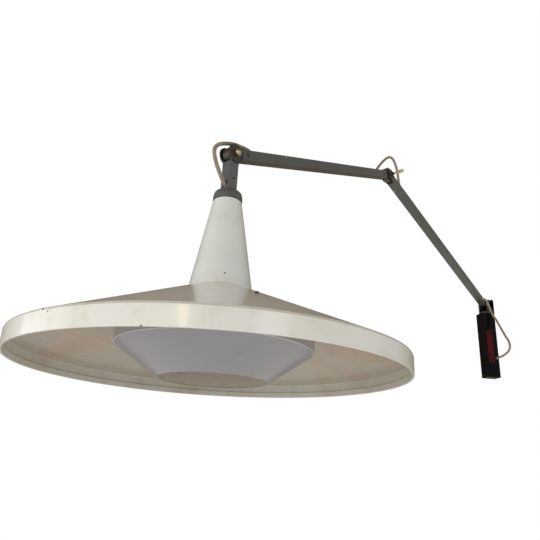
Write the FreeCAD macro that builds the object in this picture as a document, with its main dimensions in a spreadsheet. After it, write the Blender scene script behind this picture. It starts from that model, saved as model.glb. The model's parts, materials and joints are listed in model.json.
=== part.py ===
import FreeCAD, Part
import math
import os
import Sketcher

# A wall lamp with a swivelling turret, two jointed square arms and a wide spun shade.
# The frame: the wall is the plane y = 0, the lamp reaches out towards -Y and +Z is up.
# Every arm part is built in the frame of its own joint: X is the hinge axis, -Y points
# away from the wall and Z is up.

Vector = FreeCAD.Vector
Rotation = FreeCAD.Rotation
Placement = FreeCAD.Placement

document = FreeCAD.newDocument("WallLamp")
sheet = document.addObject("Spreadsheet::Sheet", "Sizes")


# ---------------------------------------------------------------- driving sizes

driving_sizes = (
    # wall housing
    ("housing_width", 31.0),
    ("housing_depth", 38.4),
    ("housing_height", 178.0),
    ("housing_base_level", -110.0),
    ("housing_wall", 2.0),
    ("back_plate_rise", 42.0),
    ("back_plate_thickness", 3.0),
    ("back_plate_corner", 5.0),
    ("cover_thickness", 2.0),
    ("cover_gap", 0.3),
    ("wall_screw_upper_level", 8.0),
    ("wall_screw_lower_level", -88.0),
    ("wall_screw_radius", 2.4),
    ("screw_clearance", 0.2),
    ("bearing_tube_radius", 11.0),
    ("bearing_tube_length", 44.0),
    ("bush_wall", 2.0),
    ("bush_length", 10.0),
    ("bush_flange", 1.2),
    ("terminal_width", 18.0),
    ("terminal_depth", 13.0),
    ("terminal_height", 22.0),
    ("terminal_level", -37.0),
    ("label_length", 92.0),
    ("label_width", 18.0),
    ("label_margin", 7.4),
    ("label_thickness", 0.8),
    ("label_base_level", -72.0),
    ("plug_radius", 4.5),
    ("plug_level", -84.0),
    ("entry_level", -58.0),
    ("entry_depth", 7.4),
    ("grommet_flange_radius", 5.2),
    # turret and shoulder
    ("pivot_rise", 26.0),
    ("spindle_radius", 6.0),
    ("running_clearance", 0.05),
    ("thrust_washer", 1.0),
    ("face_gap", 0.3),
    ("turret_base", 4.0),
    ("turret_radius", 15.6),
    ("cheek_gap", 19.0),
    ("pin_head_radius", 6.5),
    ("pin_head_height", 2.6),
    ("pin_head_start", 11.6),
    ("shoulder_bolt_radius", 4.0),
    ("swivel_rest", 41.5),
    # arms
    ("tube_size", 16.5),
    ("tube_wall", 1.5),
    ("tube_corner", 1.4),
    ("plug_fit", 0.1),
    ("upper_arm_length", 586.0),
    ("upper_arm_rise", 15.0),
    ("fore_arm_length", 508.0),
    ("fore_arm_drop", 22.4),
    ("shoulder_block_reach", 15.0),
    ("shoulder_plug_length", 14.0),
    ("elbow_plug_length", 24.0),
    ("head_plug_length", 19.0),
    ("arm_screw_radius", 1.8),
    ("slot_width", 7.0),
    ("slot_length", 17.0),
    ("side_slot_distance", 41.0),
    ("upper_slot_distance", 58.0),
    ("fore_slot_elbow_distance", 52.0),
    ("fore_slot_head_distance", 42.0),
    # elbow
    ("elbow_barrel_radius", 16.0),
    ("elbow_tube_setback", 18.0),
    ("elbow_washer_radius", 11.0),
    ("elbow_bolt_radius", 3.5),
    ("washer_thickness", 2.0),
    ("disc_thickness", 0.8),
    ("knob_reach", 38.0),
    ("knob_grip_radius", 3.7),
    # head joint
    ("head_barrel_radius", 11.5),
    ("head_tube_setback", 13.5),
    ("head_washer_radius", 14.0),
    ("head_bolt_radius", 3.5),
    ("dome_nut_radius", 5.4),
    ("dome_nut_height", 7.5),
    # yoke, cap and swivel stem
    ("head_height", 306.2),
    ("yoke_slot_drop", 51.0),
    ("yoke_slot_length", 13.0),
    ("yoke_screw_drop", 39.5),
    ("stem_plug_drop", 30.0),
    ("cap_radius", 20.1),
    ("cap_thickness", 1.3),
    ("cap_base_level", 231.7),
    ("cap_shoulder_level", 239.5),
    ("cap_top_level", 248.2),
    ("cap_top_radius", 12.6),
    ("stem_radius", 5.0),
    ("stem_bore_radius", 3.4),
    ("swivel_nut_radius", 9.0),
    ("swivel_nut_height", 6.0),
    ("swivel_washer_radius", 11.0),
    ("swivel_washer_thickness", 2.0),
    # lamp holder and bulb
    ("holder_top_level", 188.0),
    ("holder_length", 54.0),
    ("holder_radius", 19.5),
    ("holder_wall", 2.4),
    ("screw_cap_radius", 13.2),
    ("bulb_radius", 30.0),
    ("bulb_base_level", 30.0),
    # shade
    ("dish_radius", 235.0),
    ("rim_height", 22.0),
    ("cone_rise", 99.0),
    ("sheet_thickness", 1.2),
    ("hem_height", 8.0),
    ("hem_thickness", 1.6),
    ("rim_corner", 3.0),
    ("step_radius", 210.0),
    ("step_height", 1.0),
    ("dish_hole_radius", 30.0),
    ("neck_base_radius", 41.3),
    ("neck_top_radius", 19.5),
    ("neck_step_level", 231.0),
    ("neck_collar_radius", 14.8),
    ("neck_top_level", 244.2),
    ("neck_flange_inner_radius", 33.0),
    ("clamp_ring_thickness", 2.0),
    ("clamp_ring_reach", 6.75),
    ("clamp_screw_radius", 1.6),
    # diffuser
    ("diffuser_mouth_radius", 66.5),
    ("diffuser_mouth_level", -8.0),
    ("diffuser_thickness", 1.5),
    ("diffuser_lip", 23.0),
    ("ring_radius", 121.5),
    ("ring_thickness", 1.0),
    ("bracket_thickness", 1.6),
    ("ring_base_level", 27.0),
    ("ring_height", 24.0),
    ("ring_screw_rise", 6.0),
    ("bracket_width", 12.0),
    ("bracket_foot", 14.0),
    ("diffuser_screw_radius", 1.6),
    ("rivet_radius", 1.6),
    # flex
    ("flex_radius", 2.75),
)

for row, (alias, amount) in enumerate(driving_sizes, start=1):
    sheet.set(f"A{row}", alias)
    sheet.set(f"B{row}", str(amount))
    sheet.setAlias(f"B{row}", alias)
document.recompute()


class Size:
    """A length that knows its value and the sheet expression that gives it."""

    def __init__(self, amount, text):
        self.amount = amount
        self.text = text

    @property
    def bound(self):
        return "Sizes." in self.text

    def __add__(self, other):
        other = as_size(other)
        return Size(self.amount + other.amount, f"({self.text} + {other.text})")

    def __radd__(self, other):
        return as_size(other) + self

    def __sub__(self, other):
        other = as_size(other)
        return Size(self.amount - other.amount, f"({self.text} - {other.text})")

    def __rsub__(self, other):
        return as_size(other) - self

    def __mul__(self, other):
        other = as_size(other)
        return Size(self.amount * other.amount, f"({self.text} * {other.text})")

    def __rmul__(self, other):
        return as_size(other) * self

    def __truediv__(self, other):
        other = as_size(other)
        return Size(self.amount / other.amount, f"({self.text} / {other.text})")

    def __neg__(self):
        return 0.0 - self


def as_size(item):
    if isinstance(item, Size):
        return item
    number = float(item)
    text = f"{number:.9f}"
    return Size(number, f"({text})" if number < 0 else text)


def size(alias):
    return Size(float(sheet.get(alias)), f"Sizes.{alias}")


def amount(item):
    return as_size(item).amount


# ---------------------------------------------------------------- feature helpers

x_axis = Vector(1, 0, 0)
y_axis = Vector(0, 1, 0)
z_axis = Vector(0, 0, 1)

axis_turn = {
    "x": Rotation(y_axis, 90),
    "-x": Rotation(y_axis, -90),
    "y": Rotation(x_axis, -90),
    "-y": Rotation(x_axis, 90),
    "z": Rotation(),
    "-z": Rotation(x_axis, 180),
}


def add(kind, name):
    return document.addObject(kind, name)


def bind(item, path, value):
    value = as_size(value)
    if value.bound:
        item.setExpression(path, value.text)
    else:
        setattr(item, path, value.amount)


def locate(item, at, turn=None):
    item.Placement = Placement(Vector(*[amount(value) for value in at]), turn or Rotation())
    for letter, value in zip("xyz", at):
        if as_size(value).bound:
            item.setExpression(f".Placement.Base.{letter}", value.text)
    return item


def box(at, sides):
    """A box from its lowest corner."""
    item = add("Part::Box", "Box")
    for name, value in zip(("Length", "Width", "Height"), sides):
        bind(item, name, value)
    return locate(item, at)


def block(centre, sides):
    """A box about its centre."""
    corner = [as_size(middle) - as_size(side) / 2 for middle, side in zip(centre, sides)]
    return box(corner, sides)


def rod(at, axis, radius, length):
    item = add("Part::Cylinder", "Rod")
    bind(item, "Radius", radius)
    bind(item, "Height", length)
    return locate(item, at, axis_turn[axis])


def taper(at, axis, first_radius, last_radius, length):
    item = add("Part::Cone", "Taper")
    bind(item, "Radius1", first_radius)
    bind(item, "Radius2", last_radius)
    bind(item, "Height", length)
    return locate(item, at, axis_turn[axis])


def hexagon(at, axis, corner_radius, length):
    item = add("Part::Prism", "Hexagon")
    item.Polygon = 6
    bind(item, "Circumradius", corner_radius)
    bind(item, "Height", length)
    return locate(item, at, axis_turn[axis])


def ball(at, radius):
    item = add("Part::Sphere", "Ball")
    bind(item, "Radius", radius)
    return locate(item, at)


def fuse(*items):
    item = add("Part::MultiFuse", "Joined")
    item.Shapes = list(items)
    item.Refine = True
    return item


def cut(base, *tools):
    item = add("Part::Cut", "Cut")
    item.Base = base
    item.Tool = tools[0] if len(tools) == 1 else fuse(*tools)
    return item


def common(first, second):
    item = add("Part::Common", "Shared")
    item.Base = first
    item.Tool = second
    return item


def rounded(base, radius, wanted):
    """Fillet the edges of a base that the wanted test picks."""
    document.recompute()
    item = add("Part::Fillet", "Rounded")
    item.Base = base
    picked = [index for index, edge in enumerate(base.Shape.Edges, start=1) if wanted(edge)]
    item.Edges = [(index, amount(radius), amount(radius)) for index in picked]
    return item


def runs_along(edge, direction, shortest=0.0):
    ends = [vertex.Point for vertex in edge.Vertexes]
    if len(ends) < 2 or edge.Length < shortest:
        return False
    return abs((ends[1] - ends[0]).normalize().dot(direction)) > 0.999


def moved(items, placement):
    item = add("Part::Compound", "Moved")
    item.Links = list(items)
    item.Placement = placement
    return item


def ring_of(make, count, first_angle=0.0):
    """Copies of a piece, evenly spaced about the Z axis."""
    turns = [first_angle + index * 360.0 / count for index in range(count)]
    return [moved([make()], Placement(Vector(), Rotation(z_axis, turn))) for turn in turns]


class Bend:
    """An arc between two corners of a turned outline, its centre on the left or right hand."""

    def __init__(self, radius, hand):
        self.radius = radius
        self.hand = hand


def turned(*outline):
    """A body of revolution about Z from its half section: corners (radius, level) and bends."""
    corners = [item for item in outline if not isinstance(item, Bend)]
    bends = {}
    for index, item in enumerate(outline):
        if isinstance(item, Bend):
            bends[len([other for other in outline[:index] if not isinstance(other, Bend)]) - 1] = item
    body = add("PartDesign::Body", "Turned")
    sketch = body.newObject("Sketcher::SketchObject", "HalfSection")
    plane = [item for item in body.Origin.OriginFeatures if item.Role == "XZ_Plane"][0]
    sketch.AttachmentSupport = [(plane, "")]
    sketch.MapMode = "FlatFace"
    points = [Vector(amount(radius), amount(level), 0) for radius, level in corners]
    starts = []
    for index, first in enumerate(points):
        last = points[(index + 1) % len(points)]
        if index not in bends:
            sketch.addGeometry(Part.LineSegment(first, last), False)
            starts.append((1, 2))
            continue
        bend = bends[index]
        radius = amount(bend.radius)
        chord = last - first
        side = Vector(-chord.y, chord.x, 0).normalize()
        if bend.hand == "right":
            side = -side
        rise = math.sqrt(radius ** 2 - (chord.Length / 2) ** 2)
        centre = (first + last) / 2 + side * rise
        begin = math.atan2(first.y - centre.y, first.x - centre.x)
        finish = math.atan2(last.y - centre.y, last.x - centre.x)
        circle = Part.Circle(centre, z_axis, radius)
        if bend.hand == "left":
            sketch.addGeometry(Part.ArcOfCircle(circle, begin, finish), False)
            starts.append((1, 2))
        else:
            sketch.addGeometry(Part.ArcOfCircle(circle, finish, begin), False)
            starts.append((2, 1))
    total = len(points)
    for index in range(total):
        following = (index + 1) % total
        joint = Sketcher.Constraint(
            "Coincident", index, starts[index][1], following, starts[following][0])
        sketch.addConstraint(joint)
    for index, (radius, level) in enumerate(corners):
        for kind, value in (("DistanceX", as_size(radius)), ("DistanceY", as_size(level))):
            limit = Sketcher.Constraint(kind, -1, 1, index, starts[index][0], value.amount)
            number = sketch.addConstraint(limit)
            if value.bound:
                sketch.setExpression(f"Constraints[{number}]", value.text)
    for index, bend in bends.items():
        number = sketch.addConstraint(Sketcher.Constraint("Radius", index, amount(bend.radius)))
        if as_size(bend.radius).bound:
            sketch.setExpression(f"Constraints[{number}]", bend.radius.text)
    feature = body.newObject("PartDesign::Revolution", "Turn")
    feature.Profile = sketch
    feature.ReferenceAxis = (sketch, ["V_Axis"])
    feature.Angle = 360
    return body


nodes = []


def node(label, frame, *items):
    """One named piece of the lamp: its solids, set in the frame of the body it rides."""
    item = add("Part::Compound", "Node")
    item.Links = list(items)
    item.Placement = frame
    item.Label = label
    nodes.append(item)
    return item


def flex(label, home, *route):
    """A cable along straight runs joined by arcs as large as the runs allow.

    Each stop of the route is a frame and a point in it: the cable belongs to the home frame.
    """
    radius = amount(flex_radius)
    stops = []
    for frame, point in route:
        there = frame.multVec(Vector(*[amount(value) for value in point]))
        stops.append(home.inverse().multVec(there))
    edges = []
    bends = []
    here = stops[0]
    for before, corner, after in zip(stops, stops[1:], stops[2:]):
        way_in = (corner - before).normalize()
        way_out = (after - corner).normalize()
        half_turn = way_in.getAngle(way_out) / 2
        reach = 0.45 * min((corner - before).Length, (after - corner).Length)
        bend = reach / math.tan(half_turn)
        inward = (way_out - way_in).normalize()
        middle = corner + inward * (bend / math.cos(half_turn) - bend)
        start = corner - way_in * reach
        finish = corner + way_out * reach
        edges.append(Part.LineSegment(here, start).toShape())
        edges.append(Part.Arc(start, middle, finish).toShape())
        here = finish
        bends.append(round(bend, 1))
    edges.append(Part.LineSegment(here, stops[-1]).toShape())
    path = Part.Wire(edges)
    section = Part.Wire([Part.Circle(stops[0], stops[1] - stops[0], radius).toShape()])
    solid = path.makePipeShell([section], True, False)
    exact = math.pi * radius ** 2 * path.Length
    if abs(solid.Volume / exact - 1) > 0.01:
        raise ValueError(f"{label}: the sweep lost its section")
    item = add("Part::Feature", "Flex")
    item.Shape = solid
    item.Placement = home
    item.Label = label
    nodes.append(item)
    print(label, "length", round(path.Length, 1), "bend radii", bends)
    return item


# ---------------------------------------------------------------- named sizes and frames

housing_width = size("housing_width")
housing_depth = size("housing_depth")
housing_height = size("housing_height")
housing_base = size("housing_base_level")
housing_wall = size("housing_wall")
running_clearance = size("running_clearance")
screw_clearance = size("screw_clearance")
face_gap = size("face_gap")
tube_size = size("tube_size")
tube_wall = size("tube_wall")
tube_half = tube_size / 2
tube_bore = tube_size - tube_wall * 2
plug_size = tube_bore - size("plug_fit") * 2
upper_arm_length = size("upper_arm_length")
fore_arm_length = size("fore_arm_length")
slot_width = size("slot_width")
slot_length = size("slot_length")
flex_radius = size("flex_radius")
disc_thickness = size("disc_thickness")
washer_thickness = size("washer_thickness")
arm_screw_radius = size("arm_screw_radius")
head_height = size("head_height")

housing_top = housing_base + housing_height
pivot_level = housing_top + size("pivot_rise")
pivot_depth = housing_depth / 2

swivel_turn = Rotation(z_axis, amount(size("swivel_rest")))
upper_tilt = amount(size("upper_arm_rise"))
fore_tilt = -amount(size("fore_arm_drop"))


def arm_reach(length, tilt):
    """The vector along an arm that leaves the wall at a tilt above the level."""
    bearing = math.radians(tilt)
    flat = Vector(0, -amount(length) * math.cos(bearing), amount(length) * math.sin(bearing))
    return swivel_turn.multVec(flat)


def tilted(tilt):
    return swivel_turn.multiply(Rotation(x_axis, -tilt))


pivot_point = Vector(0, -amount(pivot_depth), amount(pivot_level))
elbow_point = pivot_point + arm_reach(upper_arm_length, upper_tilt)
head_point = elbow_point + arm_reach(fore_arm_length, fore_tilt)
rim_point = head_point - Vector(0, 0, amount(head_height))

wall_frame = Placement()
turret_frame = Placement(pivot_point, swivel_turn)
upper_frame = Placement(pivot_point, tilted(upper_tilt))
turned_elbow = Placement(elbow_point, swivel_turn)
fore_frame = Placement(elbow_point, tilted(fore_tilt))
head_frame = Placement(head_point, swivel_turn)
shade_frame = Placement(rim_point, swivel_turn)


# ---------------------------------------------------------------- wall housing

def make_housing():
    half = housing_width / 2
    front = housing_depth - size("cover_thickness")
    shell = box((-half, -front, housing_base), (housing_width, front, housing_height))
    shell = rounded(shell, 1.5, lambda edge: runs_along(edge, z_axis) and edge.BoundBox.YMin > -1.0)
    room = box(
        (-half + housing_wall, -front - 1, housing_base + housing_wall),
        (housing_width - housing_wall * 2, front + 1 - housing_wall, housing_height - housing_wall * 2))
    rise = size("back_plate_rise")
    thick = size("back_plate_thickness")
    back_plate = box((-half, -thick, housing_top - 1), (housing_width, thick, rise + 1))
    back_plate = rounded(
        back_plate, size("back_plate_corner"),
        lambda edge: runs_along(edge, y_axis) and edge.BoundBox.ZMin > (housing_top + rise / 2).amount)
    spindle_hole = rod(
        (0, -pivot_depth, housing_top - housing_wall - 1), "z",
        size("spindle_radius") + size("bush_wall"), housing_wall + 2)
    entry_hole = rod(
        (half - housing_wall - 1, -size("entry_depth"), size("entry_level")), "x",
        size("grommet_flange_radius") - 1.5, housing_wall + 2)
    plug_hole = rod(
        (half - housing_wall - 1, -pivot_depth, size("plug_level")), "x",
        size("plug_radius") - 1.2, housing_wall + 2)
    fixings = []
    for level in (size("wall_screw_upper_level"), size("wall_screw_lower_level")):
        hole_radius = size("wall_screw_radius") + screw_clearance
        fixings.append(rod((0, 1, level), "-y", hole_radius, housing_wall + 2))
    cover_tab = block(
        (0, -front + 4, housing_base + housing_wall + 4), (10, 8, 8))
    tab_hole = rod(
        (0, -front - 1, housing_base + housing_wall + 4), "y", arm_screw_radius, 8)
    walls = cut(shell, room, spindle_hole, entry_hole, plug_hole, *fixings)
    node("wall_housing", wall_frame, fuse(walls, cut(cover_tab, tab_hole), back_plate))


def make_cover():
    front = housing_depth - size("cover_thickness")
    gap = size("cover_gap")
    half = housing_width / 2
    plate = box(
        (-half, -housing_depth, housing_base), (housing_width, size("cover_thickness"), housing_height))
    plate = rounded(plate, 1.5, lambda edge: runs_along(edge, z_axis) and edge.BoundBox.YMax < -front.amount)
    inner = housing_width - housing_wall * 2 - gap * 2
    lips = []
    for side in (-1, 1):
        middle = (inner / 2 - 0.6) * side
        centre = (middle, -front + 3, housing_base + housing_height / 2)
        lips.append(block(centre, (1.2, 6, housing_height - 40)))
    hole = rod(
        (0, -housing_depth - 1, housing_base + housing_wall + 4), "y",
        arm_screw_radius + screw_clearance, size("cover_thickness") + 2)
    node("housing_cover", wall_frame, cut(fuse(plate, *lips), hole))
    level = housing_base + housing_wall + 4
    head = rod((0, -housing_depth, level), "-y", 3.4, 1.8)
    head = cut(head, block((0, -housing_depth - 1.8, level), (8, 1.4, 0.9)))
    shank = rod((0, -housing_depth, level), "y", arm_screw_radius, size("cover_thickness") + 7)
    node("cover_screw", wall_frame, fuse(head, shank))


def make_bearing():
    outer = size("bearing_tube_radius")
    length = size("bearing_tube_length")
    spindle = size("spindle_radius")
    top = housing_top - housing_wall
    tube = rod((0, -pivot_depth, top - length), "z", outer, length)
    bush_outer = spindle + size("bush_wall")
    bore = rod((0, -pivot_depth, top - length - 1), "z", bush_outer, length + 2)
    node("bearing_tube", wall_frame, cut(tube, bore))
    bush_bore = spindle + running_clearance
    for label, base, flange_base in (
            ("upper_bush", housing_top - size("bush_length"), None),
            ("lower_bush", top - length, top - length - size("bush_flange"))):
        sleeve = rod((0, -pivot_depth, base), "z", bush_outer, size("bush_length"))
        if flange_base is not None:
            sleeve = fuse(sleeve, rod((0, -pivot_depth, flange_base), "z", bush_outer + 2, size("bush_flange")))
        hollow = rod((0, -pivot_depth, base - 5), "z", bush_bore, size("bush_length") + 10)
        node(label, wall_frame, cut(sleeve, hollow))


def make_terminals():
    width = size("terminal_width")
    depth = size("terminal_depth")
    height = size("terminal_height")
    level = size("terminal_level")
    body = block((0, -housing_wall - depth / 2, level + height / 2), (width, depth, height))
    body = rounded(body, 1.2, lambda edge: runs_along(edge, y_axis))
    wells = []
    screws = []
    for column in (-1, 1):
        for row_level in (0.3, 0.7):
            place = (width / 4 * column, -housing_wall - depth - 1, level + height * row_level)
            wells.append(rod(place, "y", 2.2, 6))
            screws.append(rod((place[0], -housing_wall - depth + 1.5, place[2]), "y", 2.0, 3.5))
    node("terminal_block", wall_frame, cut(body, *wells))
    node("terminal_screws", wall_frame, *screws)


def make_side_fittings():
    side = housing_width / 2
    flange = size("grommet_flange_radius")
    place = (side, -size("entry_depth"), size("entry_level"))
    outer = rod(place, "x", flange, 1.8)
    outer = rounded(outer, 0.8, lambda edge: edge.BoundBox.XMin > side.amount + 1)
    waist = rod((side - housing_wall, place[1], place[2]), "x", flange - 1.5, housing_wall)
    inner = rod((side - housing_wall - 1.6, place[1], place[2]), "x", flange, 1.6)
    passage = rod(
        (side - housing_wall - 3, place[1], place[2]), "x", flex_radius + running_clearance * 2,
        housing_wall + 8)
    node("cable_grommet", wall_frame, cut(fuse(outer, waist, inner), passage))
    button = rod((side, -pivot_depth, size("plug_level")), "x", size("plug_radius"), 1.4)
    button = rounded(button, 0.9, lambda edge: edge.BoundBox.XMin > side.amount + 1)
    stalk = rod(
        (side - housing_wall - 1, -pivot_depth, size("plug_level")), "x", size("plug_radius") - 1.2,
        housing_wall + 1)
    node("blanking_plug", wall_frame, fuse(button, stalk))
    plate = box(
        (side, -housing_depth + size("label_margin"), size("label_base_level")),
        (size("label_thickness"), size("label_width"), size("label_length")))
    plate = rounded(plate, 2.5, lambda edge: runs_along(edge, x_axis))
    node("label_plate", wall_frame, plate)


make_housing()
make_cover()
make_bearing()
make_terminals()
make_side_fittings()


# ---------------------------------------------------------------- turret and shoulder

def make_turret():
    base_level = -size("pivot_rise") + size("thrust_washer")
    radius = size("turret_radius")
    bar = rod((0, 0, base_level), "z", radius, radius - base_level)
    crown = fuse(
        block((0, 0, base_level / 2), (radius * 2, radius * 2, -base_level)),
        rod((-radius, 0, 0), "x", radius, radius * 2))
    slot_floor = base_level + size("turret_base")
    slot = block((0, 0, slot_floor + 25), (size("cheek_gap"), radius * 2 + 2, 50))
    bore = rod((-radius - 1, 0, 0), "x", size("shoulder_bolt_radius"), radius * 2 + 2)
    seat = size("pin_head_start")
    seats = [
        rod((seat, 0, 0), "x", size("pin_head_radius") + 0.1, 10),
        rod((-seat, 0, 0), "-x", size("pin_head_radius") + 0.1, 10)]
    spindle_length = size("bearing_tube_length") + housing_wall + size("thrust_washer") + 12
    spindle = rod((0, 0, base_level), "-z", size("spindle_radius"), spindle_length)
    fork = cut(common(bar, crown), slot, bore, *seats)
    node("turret_fork", turret_frame, fuse(fork, spindle))
    washer_base = -size("pivot_rise")
    washer = cut(
        rod((0, 0, washer_base), "z", radius - 1, size("thrust_washer")),
        rod((0, 0, washer_base - 1), "z", size("spindle_radius") + screw_clearance, size("thrust_washer") + 2))
    node("thrust_washer", turret_frame, washer)
    collar_top = washer_base - housing_wall - size("bearing_tube_length") - size("bush_flange") - face_gap
    collar = cut(
        rod((0, 0, collar_top), "-z", size("spindle_radius") + 4, 7),
        rod((0, 0, collar_top + 1), "-z", size("spindle_radius"), 9))
    node("spindle_collar", turret_frame, collar)


def make_shoulder():
    bolt = size("shoulder_bolt_radius")
    seat = size("pin_head_start")
    radius = size("pin_head_radius")
    height = size("pin_head_height")
    shank = rod((-seat, 0, 0), "x", bolt, seat * 2 + height - 0.6)
    head = cut(rod((-seat, 0, 0), "-x", radius, height), block((-seat - height, 0, 0), (2, 9, 1.4)))
    node("shoulder_bolt", turret_frame, fuse(shank, head))
    ring = cut(rod((seat, 0, 0), "x", radius, height), rod((seat - 1, 0, 0), "x", bolt, 9))
    notches = [block((seat + height, (radius - 1) * side, 0), (2.4, 2.4, 1.6)) for side in (-1, 1)]
    node("shoulder_nut", turret_frame, cut(ring, *notches))
    discs = []
    thickness = size("cheek_gap") / 2 - tube_half - face_gap / 2
    for start in (tube_half + face_gap / 2, -size("cheek_gap") / 2):
        disc = rod((start, 0, 0), "x", 11, thickness)
        hole = rod((start - 1, 0, 0), "x", bolt + running_clearance, thickness + 2)
        discs.append(cut(disc, hole))
    node("shoulder_friction_discs", turret_frame, *discs)


make_turret()
make_shoulder()


# ---------------------------------------------------------------- arms

def square_tube(start, length):
    """A square tube along -Y from a start distance, with rounded long edges."""
    outer = block((0, -start - length / 2, 0), (tube_size, length, tube_size))
    outer = rounded(outer, size("tube_corner"), lambda edge: runs_along(edge, y_axis))
    hollow = block((0, -start - length / 2, 0), (tube_bore, length + 2, tube_bore))
    return cut(outer, hollow)


def wall_slot(distance, side, length=slot_length):
    """An oval cable slot through the top (+1) or bottom (-1) wall of an arm."""
    middle = (tube_half - tube_wall / 2) * side
    run = length - slot_width
    base = middle - tube_wall
    ends = [
        rod((0, -distance + run / 2 * step, base), "z", slot_width / 2, tube_wall * 2) for step in (-1, 1)]
    return fuse(block((0, -distance, middle), (slot_width, run, tube_wall * 2)), *ends)


def side_slot(distance):
    """An oval cable slot through the +X wall of an arm."""
    middle = tube_half - tube_wall / 2
    run = slot_length - slot_width
    ends = [
        rod((middle - tube_wall, -distance + run / 2 * step, 0), "x", slot_width / 2, tube_wall * 2)
        for step in (-1, 1)]
    return fuse(block((middle, -distance, 0), (tube_wall * 2, run, slot_width)), *ends)


def lugs(at_distance, setback, side):
    """The two side walls of a tube that run on past its end to a hinge pin."""
    pieces = []
    for start in (-tube_half, tube_half - tube_wall):
        middle = -at_distance - setback * side / 2
        pieces.append(block((start + tube_wall / 2, middle, 0), (tube_wall, setback, tube_size)))
        pieces.append(rod((start, -at_distance, 0), "x", tube_half, tube_wall))
    return pieces


def screw_across(distance):
    """A short countersunk screw that holds an end plug, flush in the +X wall."""
    head = taper((tube_half, -distance, 0), "-x", arm_screw_radius + 1.0, arm_screw_radius, 1.2)
    shank = rod((tube_half - 1.2, -distance, 0), "-x", arm_screw_radius, 6)
    slot = block((tube_half, -distance, 0), (1.2, 5, 0.8))
    return cut(fuse(head, shank), slot)


def screw_seat(distance):
    head = taper(
        (tube_half + 0.01, -distance, 0), "-x", arm_screw_radius + 1.02, arm_screw_radius, 1.22)
    return fuse(head, rod((tube_half, -distance, 0), "-x", arm_screw_radius, 7.21))


def make_upper_arm():
    setback = size("elbow_tube_setback")
    reach = size("shoulder_block_reach")
    tube_length = upper_arm_length - setback - reach
    tube = square_tube(reach, tube_length)
    body = fuse(tube, *lugs(upper_arm_length, setback, -1))
    bolt_hole = rod((-tube_half - 1, -upper_arm_length, 0), "x", size("elbow_bolt_radius"), tube_size + 2)
    cable_slot = side_slot(size("side_slot_distance"))
    upper_slot = wall_slot(upper_arm_length - size("upper_slot_distance"), 1)
    plug_length = size("shoulder_plug_length")
    screw_place = reach + plug_length / 2
    node("upper_arm_tube", upper_frame, cut(
        body, bolt_hole, cable_slot, upper_slot, screw_seat(screw_place)))
    plug = block((0, -reach - plug_length / 2, 0), (plug_size, plug_length, plug_size))
    eye_body = block((0, -reach / 2, 0), (tube_size, reach, tube_size))
    eye = rod((-tube_half, 0, 0), "x", tube_half, tube_size)
    bore = rod(
        (-tube_size, 0, 0), "x", size("shoulder_bolt_radius") + running_clearance, tube_size * 2)
    node("shoulder_block", upper_frame, cut(fuse(plug, eye_body, eye), bore, screw_seat(screw_place)))
    node("shoulder_block_screw", upper_frame, screw_across(screw_place))


def make_elbow_hardware():
    place = -upper_arm_length
    bolt = size("elbow_bolt_radius")
    thick = washer_thickness
    washer_radius = size("elbow_washer_radius")
    discs = []
    for start in (-tube_half - thick, tube_half):
        disc = rod((start, place, 0), "x", washer_radius, thick)
        disc = rounded(disc, 0.7, lambda edge: edge.BoundBox.YLength > 15)
        discs.append(cut(disc, rod((start - 1, place, 0), "x", bolt, thick + 2)))
    node("elbow_washers", upper_frame, *discs)
    bolt_start = -tube_half - thick
    shank = rod((bolt_start, place, 0), "x", bolt, tube_size + thick * 2 + 2.2)
    head = rod((bolt_start, place, 0), "-x", 6.5, 4)
    head = rounded(head, 2.4, lambda edge: edge.BoundBox.XMax < bolt_start.amount - 3)
    node("elbow_bolt", upper_frame, fuse(shank, head))
    seat = tube_half + thick + face_gap
    reach = size("knob_reach")
    grip = size("knob_grip_radius")
    hub = taper((seat, place, 0), "x", 5.6, 3.8, 4)
    neck = rod((seat + 3.5, place, 0), "x", 2.2, reach - seat - 5)
    handle = rod((reach - 15, place, 0), "x", grip, 13)
    crown = taper((reach - 2, place, 0), "x", grip, grip - 1.4, 2)
    thread = rod((seat - 1, place, 0), "x", bolt + running_clearance, 3.6)
    body = fuse(hub, neck, handle, crown)
    flutes = []
    for index in range(12):
        spoke = 2 * math.pi * index / 12
        centre = (reach - 14, place + grip * math.cos(spoke) * 1.06, grip * math.sin(spoke) * 1.06)
        flutes.append(rod(centre, "x", 0.7, 11))
    node("elbow_clamp_knob", upper_frame, cut(body, thread, *flutes))


def barrel(place, radius, width, bore_radius):
    drum = rod((-width / 2, place, 0), "x", radius, width)
    drum = rounded(drum, 0.8, lambda edge: edge.BoundBox.YLength > 2 * amount(radius) - 1)
    return drum, rod((-width, place, 0), "x", bore_radius, width * 2)


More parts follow.
